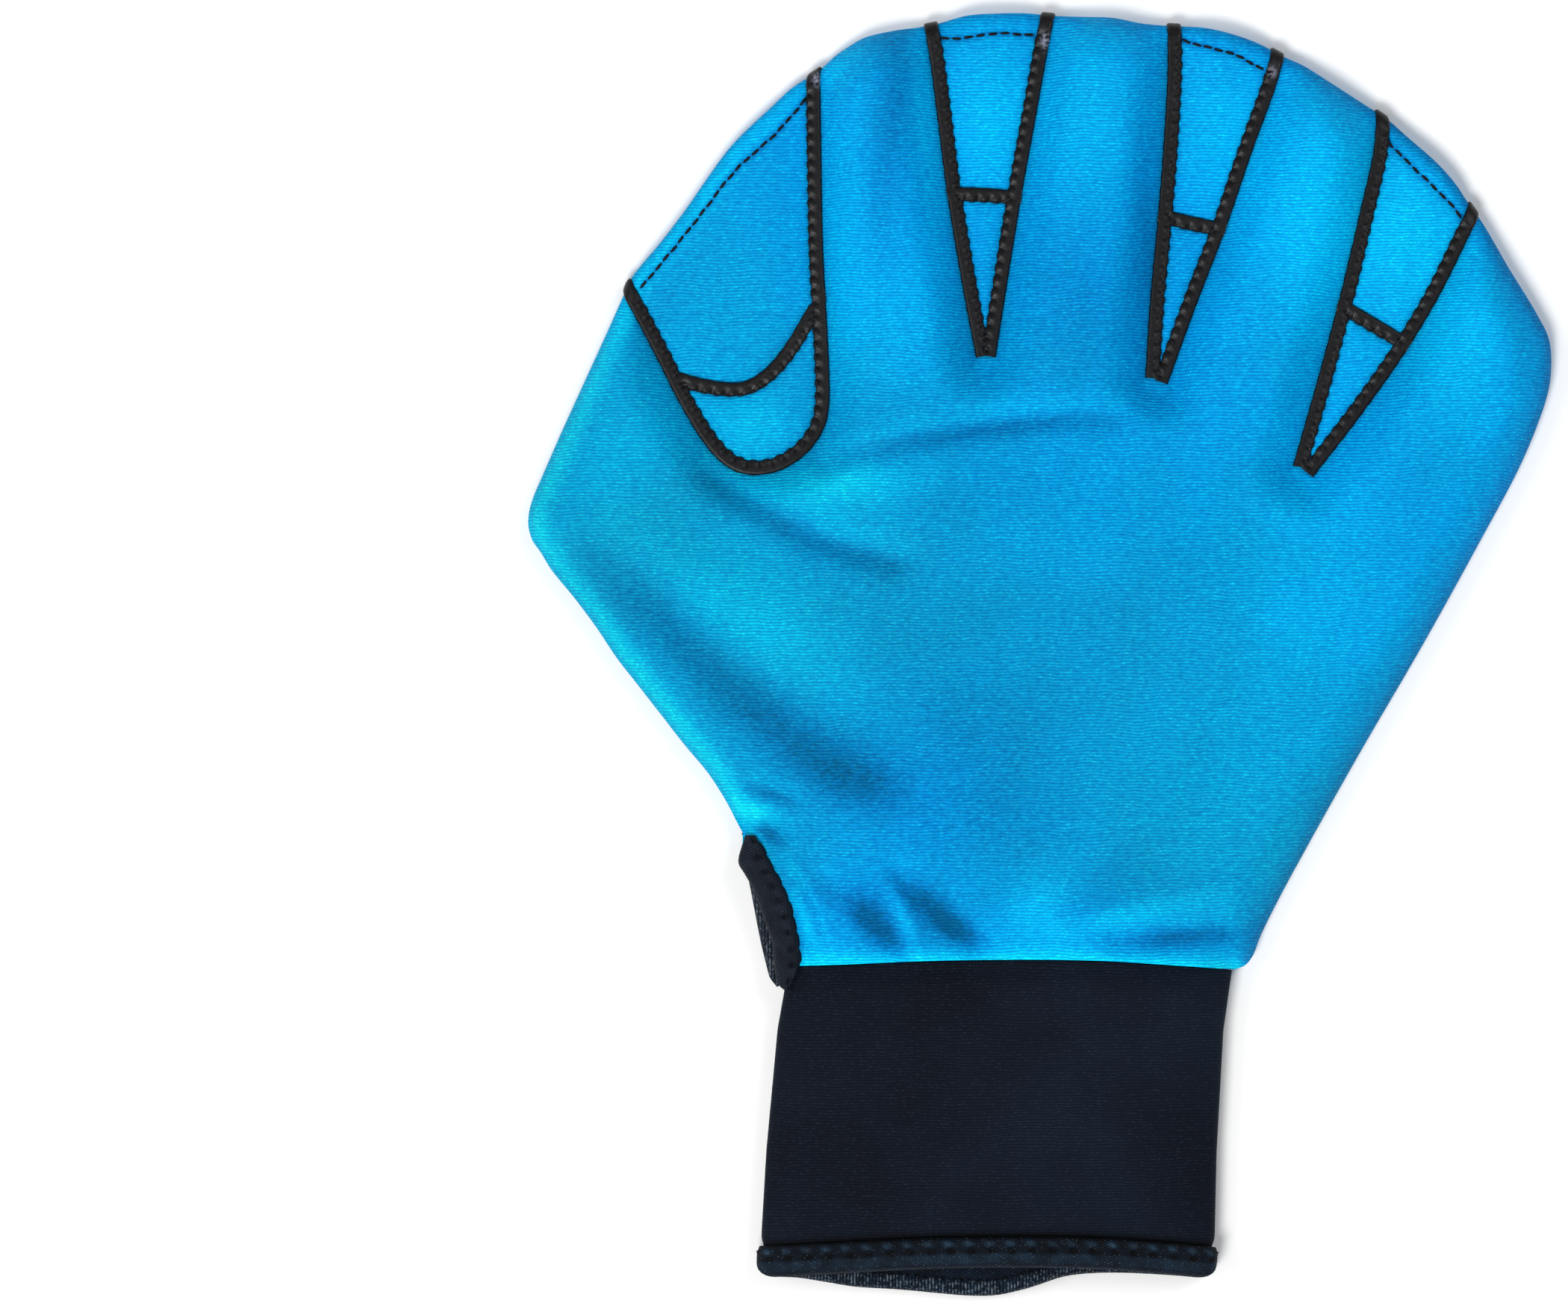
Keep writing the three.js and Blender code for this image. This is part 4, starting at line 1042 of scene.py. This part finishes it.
# Factors on the blue of the foam cloth: casts, painted shade between the loops and painted glints
TEAL_CAST = (3.0, 0.98, 0.76, 1)
BLUE_CAST = (0.2, 0.88, 1.12, 1)
SHADE_BETWEEN_LOOPS = (0.25, 0.42, 0.68, 1)
GLINT_LIFT = (4.0, 1.5, 1.12, 1)
# Pitches and relief of knit and twill
COURSE = 0.62
FOAM_LOOP = 0.55
CUFF_LOOP = 0.6
TWILL_PITCH = 0.55
LOOP_RELIEF = 0.16


class Nodes:
    """Adds shader nodes to one tree and joins them."""

    def __init__(self, tree):
        self.tree = tree

    def add(self, kind, inputs=(), **settings):
        node = self.tree.nodes.new(kind)
        for key, value in settings.items():
            setattr(node, key, value)
        for key, value in dict(inputs).items():
            self.put(value, node.inputs[key])
        return node

    def put(self, value, socket):
        if isinstance(value, bpy.types.NodeSocket):
            self.tree.links.new(value, socket)
        else:
            socket.default_value = value

    def math(self, operation, a, b=0.0, c=0.0, clamp=False):
        node = self.add("ShaderNodeMath", {0: a, 1: b, 2: c}, operation=operation, use_clamp=clamp)
        return node.outputs[0]

    def ramp(self, value, stops):
        node = self.add("ShaderNodeValToRGB", {"Fac": value})
        elements = node.color_ramp.elements
        while len(elements) < len(stops):
            elements.new(0.5)
        for element, (place, colour) in zip(elements, stops):
            element.position = place
            element.color = (*colour, 1)
        return node.outputs["Color"]

    def mark(self, name):
        """The value that a mark of the mesh holds."""
        return self.add("ShaderNodeAttribute", attribute_name=name).outputs["Fac"]

    def noise(self, place, scale, detail):
        node = self.add("ShaderNodeTexNoise", {"Vector": place, "Scale": scale, "Detail": detail})
        return node.outputs["Fac"]

    def mix(self, share, a, b, blend="MIX"):
        node = self.add("ShaderNodeMix", data_type="RGBA", blend_type=blend)
        self.put(share, node.inputs[0])
        self.put(a, node.inputs[6])
        self.put(b, node.inputs[7])
        return node.outputs[2]


def linear(red, green, blue):
    """A colour named by its 0 to 255 screen values."""
    shares = (value / 255 for value in (red, green, blue))
    return tuple(share / 12.92 if share <= 0.0404 else ((share + 0.055) / 1.055) ** 2.4 for share in shares)


def shades_at(places, shades):
    """Stops of a colour ramp."""
    return [(place, linear(*shade)) for place, shade in zip(places, shades)]


def new_group(name, inputs, outputs):
    tree = bpy.data.node_groups.new(name, "ShaderNodeTree")
    for socket, kind in inputs:
        tree.interface.new_socket(socket, in_out="INPUT", socket_type=kind)
    for socket, kind in outputs:
        tree.interface.new_socket(socket, in_out="OUTPUT", socket_type=kind)
    nodes = Nodes(tree)
    return tree, nodes, nodes.add("NodeGroupInput"), nodes.add("NodeGroupOutput")


def knit_group():
    """Courses of small loops with bright flecks that stand for painted glints. Course and Loop are the
    pitches in millimetres.
    """
    tree, nodes, given, out = new_group(
        "knit loops",
        [("Place", "NodeSocketVector"), ("Course", "NodeSocketFloat"), ("Loop", "NodeSocketFloat")],
        [("Height", "NodeSocketFloat"), ("Glint fleck", "NodeSocketFloat"), ("Cloud", "NodeSocketFloat"),
         ("Grain", "NodeSocketFloat")])
    drift = nodes.noise(given.outputs["Place"], 0.09, 2.0)
    split = nodes.add("ShaderNodeSeparateXYZ", {"Vector": given.outputs["Place"]})
    bent = nodes.math("MULTIPLY_ADD", drift, 1.6, split.outputs["Y"])
    row = nodes.math("DIVIDE", bent, given.outputs["Course"])
    course = nodes.math("ABSOLUTE", nodes.math("SINE", nodes.math("MULTIPLY", row, math.pi)))
    shift = nodes.math("MULTIPLY", nodes.math("FLOOR", row), 0.5)
    column = nodes.math("ADD", nodes.math("DIVIDE", split.outputs["X"], given.outputs["Loop"]), shift)
    loop = nodes.math("ABSOLUTE", nodes.math("SINE", nodes.math("MULTIPLY", column, math.pi)))
    height = nodes.math("MULTIPLY", course, nodes.math("MULTIPLY_ADD", loop, 0.45, 0.55))
    nodes.put(height, out.inputs["Height"])
    stretch = {0: given.outputs["Place"], 1: (0.85, 1.7, 0.8)}
    drawn = nodes.add("ShaderNodeVectorMath", stretch, operation="MULTIPLY")
    spots = nodes.add("ShaderNodeTexVoronoi", {"Vector": drawn.outputs[0], "Scale": 1.0, "Randomness": 1.0})
    near_spot = nodes.math("SUBTRACT", 0.42, spots.outputs["Distance"], clamp=True)
    glint_fleck = nodes.math("MULTIPLY", near_spot, 3.6, clamp=True)
    nodes.put(nodes.math("MULTIPLY", glint_fleck, height), out.inputs["Glint fleck"])
    nodes.put(nodes.noise(given.outputs["Place"], 0.035, 4.0), out.inputs["Cloud"])
    nodes.put(nodes.noise(drawn.outputs[0], 0.9, 2.0), out.inputs["Grain"])
    return tree


def twill_group():
    """Slanted ribs with stray pale fibres."""
    tree, nodes, given, out = new_group(
        "twill ribs",
        [("Place", "NodeSocketVector"), ("Pitch", "NodeSocketFloat")],
        [("Height", "NodeSocketFloat"), ("Loop", "NodeSocketFloat"), ("Fibre", "NodeSocketFloat"),
         ("Glint", "NodeSocketFloat")])
    split = nodes.add("ShaderNodeSeparateXYZ", {"Vector": given.outputs["Place"]})
    slant = nodes.math("MULTIPLY_ADD", split.outputs["X"], 0.45, split.outputs["Y"])
    row = nodes.math("DIVIDE", slant, given.outputs["Pitch"])
    rib = nodes.math("ABSOLUTE", nodes.math("SINE", nodes.math("MULTIPLY", row, math.pi)))
    cross = nodes.math("DIVIDE", split.outputs["X"], nodes.math("MULTIPLY", given.outputs["Pitch"], 1.3))
    weft = nodes.math("ABSOLUTE", nodes.math("SINE", nodes.math("MULTIPLY", cross, math.pi)))
    height = nodes.math("MULTIPLY", rib, nodes.math("MULTIPLY_ADD", weft, 0.5, 0.5))
    nodes.put(height, out.inputs["Height"])
    speckle = {"Vector": given.outputs["Place"], "Scale": 1.5, "Randomness": 1.0}
    spots = nodes.add("ShaderNodeTexVoronoi", speckle)
    upright = nodes.math("DIVIDE", split.outputs["X"], nodes.math("MULTIPLY", given.outputs["Pitch"], 1.2))
    loop = nodes.math("ABSOLUTE", nodes.math("SINE", nodes.math("MULTIPLY", upright, math.pi)))
    nodes.put(loop, out.inputs["Loop"])
    patches = nodes.noise(given.outputs["Place"], 1.3, 1.0)
    above = nodes.math("SUBTRACT", patches, 0.48, clamp=True)
    lit = nodes.math("MULTIPLY", above, 6.0, clamp=True)
    nodes.put(nodes.math("MULTIPLY", lit, nodes.math("POWER", loop, 3.0)), out.inputs["Glint"])
    near_spot = nodes.math("SUBTRACT", 0.26, spots.outputs["Distance"], clamp=True)
    stray = nodes.math("MULTIPLY", near_spot, 4.0, clamp=True)
    nodes.put(nodes.math("MULTIPLY", stray, rib), out.inputs["Fibre"])
    return tree


knit = knit_group()
twill = twill_group()


def new_material(name):
    material = bpy.data.materials.new(name)
    material.use_nodes = True
    nodes = Nodes(material.node_tree)
    shader = material.node_tree.nodes["Principled BSDF"]
    place = nodes.add("ShaderNodeTexCoord").outputs["Object"]
    scaled = nodes.add("ShaderNodeVectorMath", {0: place, 1: (1 / MM, 1 / MM, 1 / MM)}, operation="MULTIPLY")
    return material, nodes, shader, scaled.outputs[0]


def use_group(nodes, tree, inputs):
    node = nodes.add("ShaderNodeGroup", node_tree=tree)
    for key, value in inputs.items():
        nodes.put(value, node.inputs[key])
    return node.outputs


def bump(nodes, shader, height, depth, strength=1.0):
    node = nodes.add("ShaderNodeBump", {"Height": height, "Distance": depth * MM, "Strength": strength})
    nodes.put(node.outputs["Normal"], shader.inputs["Normal"])


def foam_cloth_material():
    material, nodes, shader, place = new_material("blue foam cloth")
    loops = use_group(nodes, knit, {"Place": place, "Course": COURSE, "Loop": FOAM_LOOP})
    tone = nodes.mark("tone")
    cloud = nodes.math("MULTIPLY", nodes.math("SUBTRACT", loops["Cloud"], 0.5), 0.35)
    grain = nodes.math("MULTIPLY_ADD", nodes.math("SUBTRACT", loops["Grain"], 0.5), 0.55, cloud)
    depth = nodes.math("ADD", tone, grain, clamp=True)
    colour = nodes.ramp(depth, shades_at((0.0, 0.25, 0.5, 0.75, 1.0), FOAM_BLUES))
    bluer = nodes.mark("bluer")
    teal = nodes.mix(1.0, colour, TEAL_CAST, "MULTIPLY")
    colour = nodes.mix(bluer, teal, colour)
    drift = nodes.math("MULTIPLY_ADD", loops["Cloud"], 3.0, -1.0, clamp=True)
    purer = nodes.mix(1.0, colour, BLUE_CAST, "MULTIPLY")
    colour = nodes.mix(nodes.math("MULTIPLY", drift, 0.5), colour, purer)
    # Painted shade between the loops
    low = nodes.mix(1.0, colour, SHADE_BETWEEN_LOOPS, "MULTIPLY")
    shaded = nodes.mix(nodes.math("MULTIPLY_ADD", loops["Height"], 0.8, 0.2), low, colour)
    # Painted glints on the flecks
    pale = nodes.mix(1.0, colour, GLINT_LIFT, "MULTIPLY")
    bright = nodes.mix(nodes.math("MULTIPLY", loops["Glint fleck"], 0.8), shaded, pale)
    nodes.put(bright, shader.inputs["Base Color"])
    nodes.put(nodes.math("MULTIPLY_ADD", loops["Glint fleck"], -0.2, 0.62), shader.inputs["Roughness"])
    shader.inputs["Sheen Weight"].default_value = 0.14
    shader.inputs["Sheen Roughness"].default_value = 0.4
    shader.inputs["Sheen Tint"].default_value = (0.02, 0.75, 1.0, 1)
    shader.inputs["Specular IOR Level"].default_value = 0.03
    bump(nodes, shader, loops["Height"], LOOP_RELIEF, 0.7)
    return material


def cuff_cloth_material():
    material, nodes, shader, place = new_material("black cuff cloth")
    loops = use_group(nodes, knit, {"Place": place, "Course": COURSE, "Loop": CUFF_LOOP})
    colour = nodes.ramp(loops["Cloud"], shades_at((0.3, 0.5, 0.7), CUFF_BLACKS))
    # Painted shade between the loops
    raised = nodes.math("MULTIPLY_ADD", loops["Height"], 0.65, 0.35)
    shaded = nodes.mix(raised, (*linear(8, 10, 15), 1), colour)
    # Painted glints on the flecks
    bright = nodes.mix(nodes.math("MULTIPLY", loops["Glint fleck"], 0.16), shaded, (*linear(60, 76, 92), 1))
    # Painted shadow in the groove over the binding
    groove_shadow_mark = nodes.mark("pressed")
    nodes.put(nodes.mix(groove_shadow_mark, bright, (*linear(3, 4, 6), 1)), shader.inputs["Base Color"])
    nodes.put(nodes.math("MULTIPLY_ADD", loops["Height"], -0.12, 0.8), shader.inputs["Roughness"])
    shader.inputs["Sheen Weight"].default_value = 0.03
    shader.inputs["Sheen Tint"].default_value = (0.4, 0.6, 1.0, 1)
    shader.inputs["Specular IOR Level"].default_value = 0.07
    bump(nodes, shader, loops["Height"], LOOP_RELIEF, 0.7)
    return material


def tape_material():
    material, nodes, shader, place = new_material("black bonded tape")
    grain = nodes.noise(place, 1.6, 5.0)
    rub = nodes.noise(place, 0.12, 3.0)
    wear = nodes.math("MULTIPLY_ADD", rub, 0.5, nodes.math("MULTIPLY", grain, 0.5))
    colour = nodes.ramp(wear, shades_at((0.25, 0.55, 0.8), TAPE_BLACKS))
    # Painted highlights on the gleam spots, broken up by the grain
    gleam = nodes.mark("gleam")
    patchy = nodes.math("MULTIPLY_ADD", grain, 5.0, -1.9, clamp=True)
    gleaming = nodes.mix(nodes.math("MULTIPLY", gleam, patchy), colour, (*linear(140, 144, 162), 1))
    # Painted shade in the stitch holes
    pit = nodes.mark("pit")
    nodes.put(nodes.mix(pit, gleaming, (*linear(2, 2, 4), 1)), shader.inputs["Base Color"])
    nodes.put(nodes.math("MULTIPLY_ADD", grain, 0.35, 0.22), shader.inputs["Roughness"])
    shader.inputs["Specular IOR Level"].default_value = 0.2
    bump(nodes, shader, grain, 0.06, 0.6)
    return material


def twill_material(name, shades, fuzz):
    """Twill in three shades from deep to pale. Fuzz is the share of stray pale fibres."""
    material, nodes, shader, place = new_material(name)
    ribs = use_group(nodes, twill, {"Place": place, "Pitch": TWILL_PITCH})
    colour = nodes.ramp(nodes.noise(place, 0.3, 3.0), shades_at((0.3, 0.55, 0.8), shades))
    # Painted shade and highlights stored at the corners of the binding
    lifted = nodes.ramp(nodes.mark("tone"), shades_at((0.0, 0.42, 0.9), TWILL_PAINTED_SHADING))
    toned = nodes.mix(1.0, colour, lifted, "MULTIPLY")
    looped = nodes.mark("loops")
    weave = nodes.math("ADD", nodes.math("MULTIPLY", ribs["Height"], nodes.math("SUBTRACT", 1.0, looped)),
                       nodes.math("MULTIPLY", ribs["Loop"], looped))
    # Painted shade between the ribs; pale stray fibres and painted glints on the loops
    shaded = nodes.mix(nodes.math("MULTIPLY_ADD", weave, 0.8, 0.2), (*linear(5, 7, 11), 1), toned)
    glint = nodes.math("MULTIPLY", nodes.math("MULTIPLY", ribs["Glint"], looped), 0.34)
    loose = nodes.math("MULTIPLY_ADD", looped, 0.3, fuzz)
    stray = nodes.math("MULTIPLY_ADD", ribs["Fibre"], loose, glint, clamp=True)
    bright = nodes.mix(stray, shaded, (*linear(150, 170, 188), 1))
    nodes.put(bright, shader.inputs["Base Color"])
    nodes.put(nodes.math("MULTIPLY_ADD", ribs["Fibre"], -0.25, 0.75), shader.inputs["Roughness"])
    shader.inputs["Specular IOR Level"].default_value = 0.12
    bump(nodes, shader, weave, 0.2, 0.8)
    return material


def thread_material():
    material, nodes, shader, place = new_material("black thread")
    twist = nodes.add("ShaderNodeTexWave", {"Vector": place, "Scale": 1.1, "Distortion": 2.0}).outputs["Fac"]
    colour = nodes.ramp(twist, shades_at((0.2, 0.6, 0.9), THREAD_BLACKS))
    nodes.put(colour, shader.inputs["Base Color"])
    nodes.put(nodes.math("MULTIPLY_ADD", twist, -0.15, 0.55), shader.inputs["Roughness"])
    shader.inputs["Specular IOR Level"].default_value = 0.09
    bump(nodes, shader, twist, 0.05, 0.6)
    return material


cloth = foam_cloth_material()
cuff_cloth = cuff_cloth_material()
tape_finish = tape_material()
binding = twill_material("navy twill binding", NAVY_TWILL, 0.2)
slit_twill = twill_material("black twill binding", BLACK_TWILL, 0.06)
thread = thread_material()


def dress(piece, material, slot, *nodes):
    """Gives a piece its finish, its body and the solids that it stands for."""
    piece.data.materials.append(material)
    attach(piece, "root")
    if nodes:
        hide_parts(*nodes)
    return piece


# The hand

front_panel = make_layer("front_cloth", front, front_top, front_under, FINE_GRID, HIDDEN_GRID)
paint_tone(front_panel, front, True)
dress(front_panel, cloth, "foam_cloth", "front_panel")
rear_panel = make_layer("rear_cloth", rear, rear_top, rear_under, HIDDEN_GRID, REAR_GRID)
paint_tone(rear_panel, rear, False)
dress(rear_panel, cloth, "foam_cloth", "rear_panel")

tape_thread = stitch_shape(*TAPE_THREAD)
fine_thread = stitch_shape(*FINE_THREAD)
for side, label in ((1, "front"), (-1, "rear")):
    places, runs_along = [], []
    for name, runs in WEBS.items():
        dress(make_tape(f"{name}_{label}_strip", runs, side), tape_finish, "bonded_tape", f"{name}_{label}")
        for run in runs:
            spots, along = thread_places(run, THREAD_OFF_MIDDLE)
            places.append((spots[:-1] + spots[1:]) / 2)
            runs_along.append((along[:-1] + along[1:]) / 2)
    spots = np.vstack(places)
    level = FRONT_RIM + FOAM - TAPE_BED + 0.62 if side > 0 else 0.4
    heights = np.full(len(spots), level)
    sewn = sew(f"tape_thread_{label}", tape_thread, spots, np.vstack(runs_along), heights, side)
    dress(sewn, thread, "bonded_tape")

spots, along = [], []
for index, line in enumerate(stitch_lines.values()):
    even = even_line(line, TOP_STITCH)
    weave = 0.22 * np.sin(np.arange(len(even)) * 2.4 + index)
    even = even + left_of(directions(even)) * weave[:, None]
    spots.append((even[:-1] + even[1:]) / 2)
    along.append(directions(even)[:-1])
spots = np.vstack(spots)
heights = front_top(spots) + 0.12
dress(sew("web_top_stitches", fine_thread, spots, np.vstack(along), heights), thread, "bonded_tape")

# The cuff and the bindings

cuff = dress(make_cuff(), cuff_cloth, "cuff_cloth", "wrist_cuff")
dress(make_cuff_binding(), binding, "twill_binding", "cuff_binding")
stations = 64
front_edges = [stations_on(edge, stations) for edge in (SLIT_LEFT, SLIT_RIGHT)]
dress(
    make_slit_binding("slit_strip_front", front_edges, front_bound, front_under, 1),
    slit_twill, "twill_binding", "slit_binding_front")
dress(
    make_slit_binding("slit_strip_rear", slit_edges(rear), rear_level, rear_top, -1),
    slit_twill, "twill_binding", "slit_binding_rear")

# Floor, light and camera

bpy.ops.mesh.primitive_plane_add(size=6, location=(0, 0, -0.0004))
floor = bpy.context.object
floor.name = "floor"
paper, nodes, shader, place = new_material("pale floor")
shade = nodes.add("ShaderNodeTexNoise", {"Vector": place, "Scale": 0.004}).outputs["Fac"]
paper_shades = [(0.0, (0.93, 0.93, 0.93)), (1.0, (0.96, 0.96, 0.96))]
nodes.put(nodes.ramp(shade, paper_shades), shader.inputs["Base Color"])
shader.inputs["Roughness"].default_value = 0.9
floor.data.materials.append(paper)


def soft_light(name, place, target, size, power, colour):
    light = bpy.data.lights.new(name, "AREA")
    light.shape = "DISK"
    light.size = size
    light.energy = power
    light.color = colour
    lamp = bpy.data.objects.new(name, light)
    bpy.context.collection.objects.link(lamp)
    lamp.location = place
    lamp.rotation_euler = (Vector(target) - Vector(place)).to_track_quat("-Z", "Y").to_euler()


soft_light("key light", (-0.55, -0.95, 1.95), (0, 0, 0), 0.8, 33, (1.0, 0.99, 0.97))
soft_light("left light", (-1.6, 0.1, 1.6), (0, 0, 0), 1.2, 14, (0.98, 0.99, 1.0))
soft_light("fill light", (1.3, 0.9, 2.0), (0, 0, 0), 1.4, 18, (0.97, 0.99, 1.0))

world = bpy.data.worlds.new("studio")
world.use_nodes = True
world.node_tree.nodes["Background"].inputs["Color"].default_value = (0.95, 0.97, 1.0, 1)
world.node_tree.nodes["Background"].inputs["Strength"].default_value = 0.3
bpy.context.scene.world = world
bpy.context.scene.view_settings.view_transform = "Standard"

lens = bpy.data.cameras.new("photo camera")
camera = bpy.data.objects.new("photo camera", lens)
bpy.context.collection.objects.link(camera)
camera_height = 2.4
glove_height = 0.008
photo_width = 0.3108
margin = 1.018
film_width = 36
lens.sensor_fit = "HORIZONTAL"
lens.sensor_width = film_width
lens.lens = film_width * (camera_height - glove_height) / (photo_width * margin)
lens.clip_start = 0.05
lens.clip_end = 20
camera.location = (-0.0516, -0.0002, camera_height)
bpy.context.scene.camera = camera
